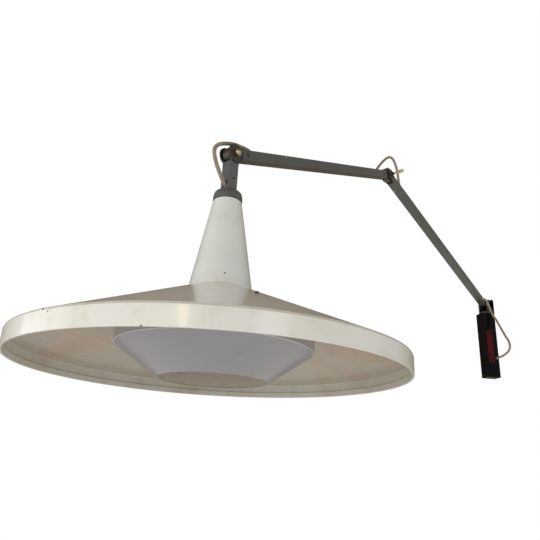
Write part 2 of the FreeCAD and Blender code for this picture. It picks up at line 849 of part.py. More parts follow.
def make_fore_arm():
    near = size("elbow_tube_setback")
    far = size("head_tube_setback")
    tube = square_tube(near, fore_arm_length - near - far)
    elbow_screw = near + size("elbow_plug_length") / 2 + 2
    head_screw = fore_arm_length - far - size("head_plug_length") + 5
    elbow_slot = wall_slot(size("fore_slot_elbow_distance"), 1)
    head_slot = wall_slot(fore_arm_length - size("fore_slot_head_distance"), 1)
    node("fore_arm_tube", fore_frame, cut(
        tube, elbow_slot, head_slot, screw_seat(elbow_screw), screw_seat(head_screw)))
    width = tube_bore - disc_thickness * 2 - 0.2
    stem_length = size("elbow_plug_length")

    drum, bore = barrel(0, size("elbow_barrel_radius"), width, size("elbow_bolt_radius") + running_clearance)
    stem = block((0, -near - stem_length / 2, 0), (plug_size, stem_length, plug_size))
    waist = block((0, -near / 2, 0), (width, near, plug_size))
    node("elbow_barrel", fore_frame, cut(fuse(drum, stem, waist), bore, screw_seat(elbow_screw)))

    place = -fore_arm_length
    drum, bore = barrel(place, size("head_barrel_radius"), width, size("head_bolt_radius") + running_clearance)
    stem_length = size("head_plug_length")
    stem = block((0, place + far + stem_length / 2, 0), (plug_size, stem_length, plug_size))
    waist = block((0, place + far / 2, 0), (width, far, plug_size))
    node("head_barrel", fore_frame, cut(fuse(drum, stem, waist), bore, screw_seat(head_screw)))
    node("fore_arm_screws", fore_frame, screw_across(elbow_screw), screw_across(head_screw))

    for label, where, radius, bolt in (
            ("elbow_friction_discs", 0, size("elbow_barrel_radius") - 7.9, size("elbow_bolt_radius")),
            ("head_friction_discs", place, size("head_barrel_radius") - 3.4, size("head_bolt_radius"))):
        pair = []
        for start in (-width / 2 - disc_thickness, width / 2):
            disc = rod((start, where, 0), "x", radius, disc_thickness)
            pair.append(cut(disc, rod((start - 1, where, 0), "x", bolt + running_clearance, 3)))
        node(label, fore_frame, *pair)


make_upper_arm()
make_elbow_hardware()
make_fore_arm()


# ---------------------------------------------------------------- yoke, cap and stem

def from_rim(level):
    """A level above the rim, in the frame of the head joint."""
    return level - head_height


def make_yoke():
    setback = size("head_tube_setback")
    base_gap = face_gap + size("swivel_washer_thickness")
    base = from_rim(size("neck_top_level")) + base_gap
    length = -setback - base
    outer = block((0, 0, base + length / 2), (tube_size, tube_size, length))
    outer = rounded(outer, size("tube_corner"), lambda edge: runs_along(edge, z_axis))
    hollow = block((0, 0, base + length / 2), (tube_bore, tube_bore, length + 2))
    pieces = [cut(outer, hollow)]
    for start in (-tube_half, tube_half - tube_wall):
        pieces.append(block((start + tube_wall / 2, 0, -setback / 2), (tube_wall, tube_size, setback)))
        pieces.append(rod((start, 0, 0), "x", tube_half, tube_wall))
    drop = -size("yoke_slot_drop")
    run = size("yoke_slot_length") - slot_width
    front = -tube_half + tube_wall / 2
    slot_ends = [
        rod((0, front - tube_wall, drop + run / 2 * step), "y", slot_width / 2, tube_wall * 2)
        for step in (-1, 1)]
    slot = fuse(block((0, front, drop), (slot_width, tube_wall * 2, run)), *slot_ends)
    bolt_hole = rod((-tube_size, 0, 0), "x", size("head_bolt_radius"), tube_size * 2)
    screw_level = -size("yoke_screw_drop")
    screw_hole = rod((tube_half + 1, 0, screw_level), "-x", arm_screw_radius, 5)
    node("yoke_tube", head_frame, cut(fuse(*pieces), slot, bolt_hole, screw_hole))

    plug_top = -size("stem_plug_drop")
    plug_length = plug_top - base
    plug = block((0, 0, base + plug_length / 2), (plug_size, plug_size, plug_length))
    bore = rod((0, 0, base + 1), "z", 5, plug_length)
    window = block((0, -plug_size / 2, drop), (slot_width, plug_size, size("yoke_slot_length")))
    stem_length = from_rim(size("holder_top_level"))
    stem = rod((0, 0, stem_length), "z", size("stem_radius"), base - stem_length)
    channel = rod((0, 0, stem_length - 1), "z", size("stem_bore_radius"), base - stem_length + 10)
    blind = rod((tube_half, 0, screw_level), "-x", arm_screw_radius, 4)
    node("swivel_stem", head_frame, cut(fuse(plug, stem), bore, window, channel, blind))
    screw = rod((tube_half - 0.4, 0, screw_level), "-x", arm_screw_radius, 2.9)
    screw = cut(screw, block((tube_half - 0.4, 0, screw_level), (1.2, 5, 0.7)))
    node("yoke_screw", head_frame, screw)


def make_head_hardware():
    bolt = size("head_bolt_radius")
    radius = size("head_washer_radius")
    thick = washer_thickness
    discs = []
    for start in (-tube_half - thick, tube_half):
        disc = rod((start, 0, 0), "x", radius, thick)
        disc = rounded(disc, 0.8, lambda edge: edge.BoundBox.YLength > 20)
        discs.append(cut(disc, rod((start - 1, 0, 0), "x", bolt, thick + 2)))
    node("head_washers", head_frame, *discs)
    start = -tube_half - thick
    shank = rod((start, 0, 0), "x", bolt, tube_size + thick * 2 + 4)
    head = rod((start, 0, 0), "-x", size("dome_nut_radius"), 4)
    head = rounded(head, 2.6, lambda edge: edge.BoundBox.XMax < start.amount - 3)
    node("head_bolt", head_frame, fuse(shank, head))
    seat = tube_half + thick
    nut_radius = size("dome_nut_radius")
    height = size("dome_nut_height")
    skirt = rod((seat, 0, 0), "x", nut_radius, height - 3.5)
    dome = ball((seat + height - 3.5 - 1.7, 0, 0), nut_radius)
    keep = rod((seat, 0, 0), "x", nut_radius, height)
    socket = rod((seat - 1, 0, 0), "x", bolt, 5)
    node("head_dome_nut", head_frame, cut(common(fuse(skirt, dome), keep), socket))


def make_cap():
    outer = size("cap_radius")
    thick = size("cap_thickness")
    base = from_rim(size("cap_base_level"))
    shoulder = from_rim(size("cap_shoulder_level"))
    top = from_rim(size("cap_top_level"))
    crown = size("cap_top_radius")
    bend = Bend(11.5, "left")
    inner_bend = Bend(11.5 - thick, "right")
    dome = turned(
        (outer, base), (outer - 0.4, shoulder), bend, (crown, top), (0.0, top), (0.0, top - thick),
        (crown - 0.6, top - thick), inner_bend, (outer - 0.4 - thick, shoulder), (outer - thick, base))
    square = tube_size + 0.2
    hole = block((0, 0, top), (square, square, 8))
    node("head_cap", head_frame, cut(dome, hole))


def make_swivel():
    top = from_rim(size("neck_top_level"))
    thick = size("swivel_washer_thickness")
    stem = size("stem_radius")
    radius = size("swivel_washer_radius")
    under = top - size("sheet_thickness") - face_gap
    washers = []
    for base in (top + face_gap, under - thick):
        disc = rod((0, 0, base), "z", radius, thick)
        washers.append(cut(disc, rod((0, 0, base - 1), "z", stem, thick + 2)))
    node("swivel_washers", head_frame, *washers)
    nut_base = under - thick - size("swivel_nut_height")
    nut = hexagon((0, 0, nut_base), "z", size("swivel_nut_radius"), size("swivel_nut_height"))
    node("swivel_nut", head_frame, cut(nut, rod((0, 0, nut_base - 1), "z", stem, 10)))


def make_lamp():
    top = from_rim(size("holder_top_level"))
    radius = size("holder_radius")
    wall = size("holder_wall")
    base = top - size("holder_length")
    socket = size("screw_cap_radius") + screw_clearance
    holder = turned(
        (size("stem_radius"), top), (9.0, top), (radius - 4, top - 12), (radius, top - 18),
        (radius, base), (radius - wall, base), (radius - wall, base + 8), (socket, base + 10),
        (socket, top - 20), (socket - 5, top - 14), (size("stem_bore_radius"), top - 4),
        (size("stem_bore_radius"), top - 1), (size("stem_radius"), top - 1))
    node("lamp_holder", head_frame, holder)
    cap_radius = size("screw_cap_radius")
    cap_top = top - 22
    glass_top = base + 4
    cap = turned(
        (0.0, cap_top), (5.0, cap_top), (cap_radius, cap_top - 5), (cap_radius, glass_top - 2),
        (0.0, glass_top - 2))
    node("bulb_cap", head_frame, cap)
    bulb = size("bulb_radius")
    bottom = from_rim(size("bulb_base_level"))
    waist = cap_radius - 0.4
    glass = turned(
        (0.0, glass_top - 2), (waist, glass_top - 2), (waist + 1.5, glass_top - 14),
        (bulb * 0.84, bottom + bulb * 1.5426), Bend(bulb, "right"), (bulb, bottom + bulb),
        Bend(bulb, "right"), (0.0, bottom))
    node("bulb_glass", head_frame, glass)


make_yoke()
make_head_hardware()
make_cap()
make_swivel()
make_lamp()


# ---------------------------------------------------------------- shade

dish_radius = size("dish_radius")
rim_height = size("rim_height")
sheet_thickness = size("sheet_thickness")
cone_slope = size("cone_rise") / dish_radius
sheet_drop = sheet_thickness * 1.085


def cone_level(radius, below=0.0):
    """The level of the dish's outer cone at a radius, or that much under it."""
    return rim_height + cone_slope * (dish_radius - radius) - below


def make_dish():
    corner = size("rim_corner")
    step = size("step_radius")
    rise = size("step_height")
    hole = size("dish_hole_radius")
    inner = dish_radius - sheet_thickness
    hem = inner - size("hem_thickness")
    shoulder = dish_radius - corner
    dish = turned(
        (dish_radius, 0.6), (dish_radius, rim_height - corner), Bend(corner * 1.3, "left"),
        (shoulder, cone_level(shoulder, rise)), (step + 2, cone_level(step + 2, rise)),
        (step, cone_level(step)), (hole, cone_level(hole)),
        (hole, cone_level(hole, sheet_drop)), (step, cone_level(step, sheet_drop)),
        (step + 2, cone_level(step + 2, rise + sheet_drop)),
        (shoulder, cone_level(shoulder, rise + sheet_drop)),
        (inner, rim_height - corner - 0.6), (inner, size("hem_height")), (hem, size("hem_height") - 0.5),
        (hem, 0.6), (hem + 0.6, 0.0), (dish_radius - 0.6, 0.0))
    holes = ring_of(clamp_hole, 4, 45)
    rivets = ring_of(rivet_hole, 3, bracket_angle)
    node("shade_dish", shade_frame, cut(dish, *holes, *rivets))


def make_neck():
    base = size("neck_base_radius")
    top = size("neck_top_radius")
    wall = sheet_thickness
    step_level = size("neck_step_level")
    collar = size("neck_collar_radius")
    crown = size("neck_top_level")
    flange = size("neck_flange_inner_radius")
    bore = size("stem_radius") + running_clearance
    profile = turned(
        (base, cone_level(base)), (top, step_level), (collar, step_level), (collar, crown), (bore, crown),
        (bore, crown - wall), (collar - wall, crown - wall), (collar - wall, step_level - wall),
        (top - wall, step_level - wall * 2), (base - wall - 0.2, cone_level(base, -wall * 1.9)),
        (flange, cone_level(flange, -wall)), (flange, cone_level(flange)))
    node("shade_neck", shade_frame, cut(profile, *ring_of(clamp_hole, 4, 45)))


clamp_circle = (size("neck_base_radius") - sheet_thickness + size("neck_flange_inner_radius")) / 2


def clamp_hole():
    level = cone_level(clamp_circle, 8)
    return rod((clamp_circle, 0, level), "z", size("clamp_screw_radius"), 16)


def clamp_screw():
    """A pan head screw up through the clamp ring, the dish and the neck's flange."""
    under = cone_level(clamp_circle, sheet_drop + size("clamp_ring_thickness") + 1.2)
    head = rod((clamp_circle, 0, under), "-z", 3.0, 1.8)
    shank = rod((clamp_circle, 0, under), "z", size("clamp_screw_radius"), 8)
    return fuse(cut(head, block((clamp_circle, 0, under - 1.8), (7, 0.8, 1.2))), shank)


def make_clamp_ring():
    thick = size("clamp_ring_thickness")
    inner = size("dish_hole_radius") + 1
    outer = clamp_circle + size("clamp_ring_reach")
    ring = turned(
        (inner, cone_level(inner, sheet_drop)), (outer, cone_level(outer, sheet_drop)),
        (outer, cone_level(clamp_circle, sheet_drop + thick + 1.2)),
        (inner, cone_level(clamp_circle, sheet_drop + thick + 1.2)))
    node("neck_clamp_ring", shade_frame, cut(ring, *ring_of(clamp_hole, 4, 45)))
    node("neck_clamp_screws", shade_frame, *ring_of(clamp_screw, 4, 45))


bracket_angle = 97.0
rivet_circle = size("ring_radius") - size("bracket_foot") / 2 - 2


def rivet_hole():
    return rod((rivet_circle, 0, cone_level(rivet_circle, 8)), "z", size("rivet_radius"), 16)


def rivet():
    """A rivet that holds a bracket's foot to the dish, a low dome on top."""
    top = cone_level(rivet_circle)
    radius = size("rivet_radius")
    shank = rod((rivet_circle, 0, top - 4.6), "z", radius, 5.4)
    head = common(
        ball((rivet_circle, 0, top - 2.2), 4.0), rod((rivet_circle, 0, top + 0.7), "z", 3.3, 4))
    tail = rod((rivet_circle, 0, top - 5.4), "z", 2.8, 1.0)
    return fuse(shank, head, tail)


def bracket():
    """An angle strip from the diffuser ring up to the cone, its foot lying along the cone."""
    width = size("bracket_width")
    outer = size("ring_radius") - size("ring_thickness")
    inner = outer - size("bracket_thickness")
    foot_start = outer - size("bracket_foot")
    low = size("ring_base_level")
    leg = turned((inner, low), (outer, low), (outer, cone_level(outer, sheet_drop)),
                 (inner, cone_level(inner, sheet_drop)))
    skin = turned(
        (foot_start, cone_level(foot_start, sheet_drop)), (outer, cone_level(outer, sheet_drop)),
        (outer, cone_level(outer, sheet_drop + 1.5)), (foot_start, cone_level(foot_start, sheet_drop + 1.5)))
    strip = box((foot_start - 2, -width / 2, 20), (size("bracket_foot") + 6, width, 80))
    hole = rod((inner - 1, 0, screw_level()), "x", size("diffuser_screw_radius"), 6)
    return cut(common(fuse(leg, skin), strip), rivet_hole(), hole)


def screw_level():
    """The level of the screws that hold the ring, the brackets and the diffuser together."""
    return size("ring_base_level") + size("ring_screw_rise")


def ring_screw():
    """A dark pan head screw from outside the ring into a nut inside the diffuser's lip."""
    outer = size("ring_radius")
    level = screw_level()
    head = rod((outer, 0, level), "x", 3.1, 1.7)
    head = cut(head, block((outer + 1.7, 0, level), (1.2, 7, 0.8)))
    stack = size("ring_thickness") + size("bracket_thickness") + size("diffuser_thickness")
    shank = rod((outer, 0, level), "-x", size("diffuser_screw_radius"), stack + 3.4)
    return fuse(head, shank)


def ring_nut():
    stack = size("ring_thickness") + size("bracket_thickness") + size("diffuser_thickness")
    start = size("ring_radius") - stack
    body = hexagon((start - 0.1, 0, screw_level()), "-x", 3.4, 2.4)
    return cut(body, rod((start + 1, 0, screw_level()), "-x", size("diffuser_screw_radius"), 6))


def make_diffuser():
    outer = size("ring_radius")
    base = size("ring_base_level")
    height = size("ring_height")
    inner = outer - size("ring_thickness")
    wall = turned((outer, base), (outer, base + height), (inner, base + height), (inner, base))
    hole_radius = size("diffuser_screw_radius")
    screw_holes = ring_of(
        lambda: rod((outer - 9, 0, screw_level()), "x", hole_radius, 12), 3, bracket_angle)
    node("diffuser_ring", shade_frame, cut(wall, *screw_holes))
    mouth = size("diffuser_mouth_radius")
    low = size("diffuser_mouth_level")
    thick = size("diffuser_thickness")
    lip = inner - size("bracket_thickness")
    rise = size("diffuser_lip")
    shell = turned(
        (mouth, low), (lip, base), (lip, base + rise), (lip - thick, base + rise),
        (lip - thick, base + 0.9), (mouth - 1.2, low + 0.9), (mouth - 1.2, low))
    lip_holes = ring_of(
        lambda: rod((outer - 9, 0, screw_level()), "x", hole_radius, 12), 3, bracket_angle)
    node("diffuser", shade_frame, cut(shell, *lip_holes))
    node("diffuser_brackets", shade_frame, *ring_of(bracket, 3, bracket_angle))
    node("diffuser_screws", shade_frame, *ring_of(ring_screw, 3, bracket_angle))
    node("diffuser_nuts", shade_frame, *ring_of(ring_nut, 3, bracket_angle))
    node("bracket_rivets", shade_frame, *ring_of(rivet, 3, bracket_angle))


make_dish()
make_neck()
make_clamp_ring()
make_diffuser()


# ---------------------------------------------------------------- flex

# where the flex beside the turret passes from one strand to the next, and its run there
join_point = (20.0, -12.0, -20.0)
join_run = (3.0, 2.5, -13.0)
join_before = tuple(here - 1.1 * step for here, step in zip(join_point, join_run))
join_after = tuple(here + 1.1 * step for here, step in zip(join_point, join_run))
fore_end = -fore_arm_length

flex(
    "head_cable_loop", head_frame,
    (fore_frame, (0, fore_end + 64, 0)),
    (fore_frame, (0, fore_end + 52, 0)),
    (head_frame, (0.5, 34, 26)),
    (head_frame, (1.2, 15, 22)),
    (head_frame, (1.6, 2, 19)),
    (head_frame, (1.6, -12.5, 12.5)),
    (head_frame, (1.2, -27, 4)),
    (head_frame, (0.6, -34.5, -7)),
    (head_frame, (0, -29.5, -22)),
    (head_frame, (-0.4, -20.5, -35)),
    (head_frame, (0, -10.5, -48.5)),
    (head_frame, (0, 0, -56.5)),
    (head_frame, (0, 0, -68)))
flex(
    "elbow_cable_loop", upper_frame,
    (fore_frame, (0, -76, 0)),
    (fore_frame, (0, -61.5, 0)),
    (turned_elbow, (0.4, -46, -5.5)),
    (turned_elbow, (1.0, -33, 11)),
    (turned_elbow, (1.4, -18, 27.5)),
    (turned_elbow, (1.2, -2.5, 42.5)),
    (turned_elbow, (0.6, 14, 54)),
    (turned_elbow, (0, 30, 58)),
    (turned_elbow, (-0.6, 43, 49.5)),
    (turned_elbow, (-0.8, 51, 36)),
    (turned_elbow, (-0.4, 53.5, 17.5)),
    (turned_elbow, (0, 57, -2)),
    (upper_frame, (0, 62 - upper_arm_length, 0)),
    (upper_frame, (0, 76 - upper_arm_length, 0)))
flex(
    "shoulder_cable_loop", turret_frame,
    (upper_frame, (0, -66, 0)),
    (upper_frame, (0, -52, 0)),
    (upper_frame, (9.5, -38, 0)),
    (upper_frame, (16, -30, -1)),
    (turret_frame, join_before),
    (turret_frame, join_point))
flex(
    "wall_cable_loop", wall_frame,
    (turret_frame, join_point),
    (turret_frame, join_after),
    (wall_frame, (35, -9.5, 45.5)),
    (wall_frame, (45, -8.5, 27.5)),
    (wall_frame, (56.5, -8, 9)),
    (wall_frame, (68.5, -8, -9.5)),
    (wall_frame, (81, -8, -25)),
    (wall_frame, (84, -8, -38)),
    (wall_frame, (78, -8, -48)),
    (wall_frame, (64, -7.5, -53.5)),
    (wall_frame, (46, -7, -57)),
    (wall_frame, (30, -size("entry_depth"), size("entry_level"))),
    (wall_frame, (10, -size("entry_depth"), size("entry_level"))),
    (wall_frame, (1.5, -9, -49)),
    (wall_frame, (0.5, -9, size("terminal_level") - 0.2)))


def straight_flex(label, frame, place, axis, length):
    node(label, frame, rod(place, axis, flex_radius, length))


straight_flex(
    "upper_arm_flex", upper_frame, (0, -66, 0), "-y", upper_arm_length - 76 - 66)
straight_flex(
    "fore_arm_flex", fore_frame, (0, -76, 0), "-y", fore_arm_length - 64 - 76)
straight_flex("yoke_flex", head_frame, (0, 0, -68), "-z", 44)


def finish():
    """Check every object, then write one file for each named piece."""
    document.recompute()
    bad = []
    for item in document.Objects:
        if "Invalid" in item.State or "Error" in item.State:
            bad.append(item.Name)
    for item in nodes:
        if item.Shape.isNull() or not item.Shape.isValid() or item.Shape.Volume <= 0:
            bad.append(item.Label)
    if bad:
        raise ValueError("these objects did not build: " + ", ".join(bad))
    os.makedirs("parts", exist_ok=True)
    for item in nodes:
        item.Shape.exportStep(f"parts/{item.Label}.step")
    print(len(nodes), "pieces")


finish()
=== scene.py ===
import json
import math
import bmesh
import bpy
import numpy as np
from mathutils import Matrix, Vector


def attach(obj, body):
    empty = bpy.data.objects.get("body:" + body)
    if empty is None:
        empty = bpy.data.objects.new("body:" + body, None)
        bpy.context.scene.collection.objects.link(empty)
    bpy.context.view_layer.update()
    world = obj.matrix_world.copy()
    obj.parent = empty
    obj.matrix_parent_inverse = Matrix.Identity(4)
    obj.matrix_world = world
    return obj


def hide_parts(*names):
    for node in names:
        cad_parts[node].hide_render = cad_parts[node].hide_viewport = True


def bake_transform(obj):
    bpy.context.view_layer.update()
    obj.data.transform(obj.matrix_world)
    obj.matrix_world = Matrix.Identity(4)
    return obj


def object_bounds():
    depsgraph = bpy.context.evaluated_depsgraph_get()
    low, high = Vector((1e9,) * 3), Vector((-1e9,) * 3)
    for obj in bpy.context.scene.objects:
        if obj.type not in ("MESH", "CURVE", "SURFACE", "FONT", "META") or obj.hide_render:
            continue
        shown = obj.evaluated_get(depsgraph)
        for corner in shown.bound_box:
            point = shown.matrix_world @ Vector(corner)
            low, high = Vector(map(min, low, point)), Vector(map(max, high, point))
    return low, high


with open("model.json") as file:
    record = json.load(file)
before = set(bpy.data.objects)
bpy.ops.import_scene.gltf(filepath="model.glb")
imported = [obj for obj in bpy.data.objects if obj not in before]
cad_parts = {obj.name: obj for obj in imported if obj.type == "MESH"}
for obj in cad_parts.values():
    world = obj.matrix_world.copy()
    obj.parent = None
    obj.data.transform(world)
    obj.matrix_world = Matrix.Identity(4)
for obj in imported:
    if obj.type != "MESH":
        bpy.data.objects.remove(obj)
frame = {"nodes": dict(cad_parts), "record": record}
cadLow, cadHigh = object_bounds()
cadBox = [list(cadLow), list(cadHigh)]
nodes = frame["nodes"]
joints = {joint["name"]: joint for joint in frame["record"]["behaviour"]["joints"]}
mm = 0.001

# the hinge line of the arms, the way they reach, and up
hinge = np.array(joints["shoulder_tilt"]["axis"], float)
reach = np.array([hinge[1], -hinge[0], 0.0])
upward = np.array([0.0, 0.0, 1.0])
pivot = np.array(joints["shoulder_tilt"]["pos_m"], float)
elbow = np.array(joints["elbow_fold"]["pos_m"], float)
head = np.array(joints["head_tilt"]["pos_m"], float)
rim = np.array(joints["shade_swivel"]["pos_m"], float)


def tiltOf(start, end):
    way = end - start
    return math.atan2(way[2], float(way @ reach))


def placed(origin, point, tilt=0.0):
    # a point of an arm's own frame (hinge, inward, up in mm), as a row frame point in metres
    across, inward, height = [value * mm for value in point]
    out = -inward
    along = reach * math.cos(tilt) + upward * math.sin(tilt)
    over = upward * math.cos(tilt) - reach * math.sin(tilt)
    return origin + hinge * across + along * out + over * height


upperTilt = tiltOf(pivot, elbow)
foreTilt = tiltOf(elbow, head)


def meshObject(name, points, faces):
    mesh = bpy.data.meshes.new(name)
    mesh.from_pydata(np.asarray(points).tolist(), [], [list(face) for face in faces])
    mesh.update()
    mesh.polygons.foreach_set("use_smooth", [True] * len(mesh.polygons))
    piece = bpy.data.objects.new(name, mesh)
    bpy.context.scene.collection.objects.link(piece)
    return piece


# ---- camera
cameraSettings = {
    "place": (1.3229998, -0.8171527, -0.34889),
    "ahead": (-0.930751, 0.1245286, 0.34379),
    "above": (0.33370664, -0.09503408, 0.93788),
    "lens": 34.667,
    "sensor": 36,
    "clipEnd": 60,
}


def makeCamera(settings):
    ahead = Vector(settings["ahead"]).normalized()
    side = ahead.cross(Vector(settings["above"])).normalized()
    above = side.cross(ahead)
    camera = bpy.data.cameras.new("camera")
    camera.lens = settings["lens"]
    camera.sensor_width = settings["sensor"]
    camera.clip_end = settings["clipEnd"]
    holder = bpy.data.objects.new("camera", camera)
    turn = Matrix((side, above, -ahead)).transposed().to_4x4()
    holder.matrix_world = Matrix.Translation(settings["place"]) @ turn
    bpy.context.scene.collection.objects.link(holder)
    bpy.context.scene.camera = holder


makeCamera(cameraSettings)
print("camera set")

# ---- flex: control points as the part's own routes, in mm
# the join beside the turret stands 3.6 mm further out than the part's, clear of the back plate
flex = {
    "diameter": 5.5, "station": 0.0016, "around": 20, "wobble": 0.012, "wobbleRate": 0.9,
    "joinPoint": (21.0, -15.5, -20.0), "joinRun": (3.0, 2.5, -13.0), "joinShare": 1.1}
foreEnd = -508.0
upperEnd = -586.0
joinPoint = flex["joinPoint"]
joinBefore = tuple(here - flex["joinShare"] * step for here, step in zip(joinPoint, flex["joinRun"]))
joinAfter = tuple(here + flex["joinShare"] * step for here, step in zip(joinPoint, flex["joinRun"]))


def foreSpot(*point):
    return placed(elbow, point, foreTilt)


def upperSpot(*point):
    return placed(pivot, point, upperTilt)


def headSpot(*point):
    return placed(head, point)


def elbowSpot(*point):
    return placed(elbow, point)


def turretSpot(*point):
    return placed(pivot, point)


def wallSpot(*point):
    return np.array(point, float) * mm


headRoute = [
    foreSpot(0, foreEnd + 64, 0), foreSpot(0, foreEnd + 52, 0), headSpot(0.5, 34, 26),
    headSpot(1.2, 15, 22), headSpot(1.6, 2, 19), headSpot(1.6, -12.5, 12.5), headSpot(1.2, -27, 4),
    headSpot(0.6, -34.5, -7), headSpot(0, -29.5, -22), headSpot(-0.4, -20.5, -35),
    headSpot(0, -10.5, -48.5), headSpot(0, 0, -56.5), headSpot(0, 0, -68)]
elbowRoute = [
    foreSpot(0, -76, 0), foreSpot(0, -61.5, 0), elbowSpot(0.4, -46, -5.5), elbowSpot(1.0, -33, 11),
    elbowSpot(1.4, -18, 27.5), elbowSpot(1.2, -2.5, 42.5), elbowSpot(0.6, 14, 54),
    elbowSpot(0, 30, 58), elbowSpot(-0.6, 43, 49.5), elbowSpot(-0.8, 51, 36),
    elbowSpot(-0.4, 53.5, 17.5), elbowSpot(0, 57, -2), upperSpot(0, upperEnd + 62, 0),
    upperSpot(0, upperEnd + 76, 0)]
shoulderRoute = [
    upperSpot(0, -66, 0), upperSpot(0, -52, 0), upperSpot(9.5, -38, 0), upperSpot(16, -30, -1),
    turretSpot(*joinBefore), turretSpot(*joinPoint)]
wallRoute = [
    turretSpot(*joinPoint), turretSpot(*joinAfter), wallSpot(35, -9.5, 45.5), wallSpot(45, -8.5, 27.5),
    wallSpot(56.5, -8, 9), wallSpot(68.5, -8, -9.5), wallSpot(81, -8, -25), wallSpot(84, -8, -38),
    wallSpot(78, -8, -48), wallSpot(64, -7.5, -53.5), wallSpot(46, -7, -57), wallSpot(30, -7.4, -58),
    wallSpot(10, -7.4, -58), wallSpot(1.5, -9, -49), wallSpot(0.5, -9, -37.2)]


def splinePoints(name, route):
    # the route's NURBS spline, read as points
    curve = bpy.data.curves.new(name, "CURVE")
    curve.dimensions = "3D"
    curve.resolution_u = 16
    spline = curve.splines.new("NURBS")
    spline.points.add(len(route) - 1)
    for point, place in zip(spline.points, route):
        point.co = (*place, 1.0)
    spline.order_u = 3
    spline.use_endpoint_u = True
    holder = bpy.data.objects.new(name, curve)
    bpy.context.scene.collection.objects.link(holder)
    line = bpy.data.meshes.new_from_object(holder)
    found = np.array([vertex.co[:] for vertex in line.vertices])
    bpy.data.objects.remove(holder)
    bpy.data.meshes.remove(line)
    return found


def evenly(path, step):
    # the same line with its points at equal distances
    gaps = np.linalg.norm(np.diff(path, axis=0), axis=1)
    keep = np.concatenate([[True], gaps > 1e-7])
    path = path[keep]
    travelled = np.concatenate([[0], np.cumsum(np.linalg.norm(np.diff(path, axis=0), axis=1))])
    count = max(int(travelled[-1] / step), 8)
    stations = np.linspace(0, travelled[-1], count + 1)
    return np.stack([np.interp(stations, travelled, path[:, axis]) for axis in range(3)], axis=1)


def carriedRings(path):
    # two directions across the path at each point, turned as little as possible along it
    ways = np.gradient(path, axis=0)
    ways /= np.linalg.norm(ways, axis=1)[:, None]
    side = np.cross(ways[0], [0.31, 0.2, 0.93])
    side /= np.linalg.norm(side)
    sides = [side]
    for way in ways[1:]:
        side = sides[-1] - way * float(sides[-1] @ way)
        sides.append(side / np.linalg.norm(side))
    sides = np.array(sides)
    return ways, sides, np.cross(ways, sides)


def tubeMesh(name, path, radius, around):
    # point = path + radius * (cos angle * side + sin angle * other side), closed by a fan at each end
    ways, sides, others = carriedRings(path)
    angles = np.linspace(0, 2 * math.pi, around, endpoint=False)
    wobble = 1 + flex["wobble"] * np.sin(np.arange(len(path)) * flex["wobbleRate"])[:, None, None]
    ring = np.cos(angles)[None, :, None] * sides[:, None, :]
    ring = ring + np.sin(angles)[None, :, None] * others[:, None, :]
    points = (path[:, None, :] + radius * wobble * ring).reshape(-1, 3)
    rows = len(path)
    row, column = np.meshgrid(np.arange(rows - 1), np.arange(around), indexing="ij")
    after = (column + 1) % around
    faces = np.stack([
        row * around + column, row * around + after, (row + 1) * around + after,
        (row + 1) * around + column], axis=-1).reshape(-1, 4).tolist()
    points = np.vstack([points, path[0], path[-1]])
    step = np.arange(around)
    after = (step + 1) % around
    base = (rows - 1) * around
    firstFan = np.stack([np.full(around, rows * around), after, step], axis=-1)
    lastFan = np.stack([np.full(around, rows * around + 1), base + step, base + after], axis=-1)
    faces += np.stack([firstFan, lastFan], axis=1).reshape(-1, 3).tolist()
    piece = meshObject(name, points, faces)
    along = np.concatenate([np.repeat(np.arange(rows) / (rows - 1), around), [0, 1]])
    length = float(np.linalg.norm(np.diff(path, axis=0), axis=1).sum())
    attribute = piece.data.attributes.new("along", "FLOAT", "POINT")
    attribute.data.foreach_set("value", (along * length).astype(np.float32))
    return piece, length


def makeFlex(name, node, route, start, end):
    path = evenly(splinePoints(name, route), flex["station"])
    piece, length = tubeMesh(name, path, flex["diameter"] / 2 * mm, flex["around"])
    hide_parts(node)
    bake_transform(piece)
    return piece


flexPieces = {
    "head": makeFlex(
        "headFlex", "head_cable_loop", headRoute,
        headRoute[1], headSpot(0, -9, -47)),
    "elbow": makeFlex(
        "elbowFlex", "elbow_cable_loop", elbowRoute,
        elbowSpot(0, -54, 0), elbowSpot(0, 55, 0)),
    "shoulder": makeFlex(
        "shoulderFlex", "shoulder_cable_loop", shoulderRoute,
        shoulderRoute[1], shoulderRoute[-1]),
    "wall": makeFlex(
        "wallFlex", "wall_cable_loop", wallRoute,
        wallRoute[0], (wallRoute[0][0], wallRoute[0][1], -0.036)),
}
print("flex laid")


# ---- materials
class Sock:
    # a node's output, so that shader maths reads as an expression
    def __init__(self, recipe, link):
        self.recipe = recipe
        self.link = link

    def sum(self, operation, *others):
        return self.recipe.node("ShaderNodeMath", {"operation": operation}, [self, *others])

    def __add__(self, other): return self.sum("ADD", other)
    def __radd__(self, other): return self.sum("ADD", other)
    def __mul__(self, other): return self.sum("MULTIPLY", other)
    def __rmul__(self, other): return self.sum("MULTIPLY", other)
    def __sub__(self, other): return self.sum("SUBTRACT", other)
    def __pow__(self, other): return self.sum("POWER", other)
    def peak(self, other): return self.sum("MAXIMUM", other)

    def __rsub__(self, other):
        return self.recipe.node("ShaderNodeMath", {"operation": "SUBTRACT"}, [other, self])

    def ramp(self, low, high):
        # 0 at low, 1 at high, smooth between
        return self.recipe.node(
            "ShaderNodeMapRange", {"interpolation_type": "SMOOTHSTEP"},
            {"Value": self, "From Min": low, "From Max": high})

    def band(self, centre, half, soft):
        # 1 within half of the centre, falling to 0 over the soft distance
        return (self - centre).sum("ABSOLUTE").ramp(half + soft, half)


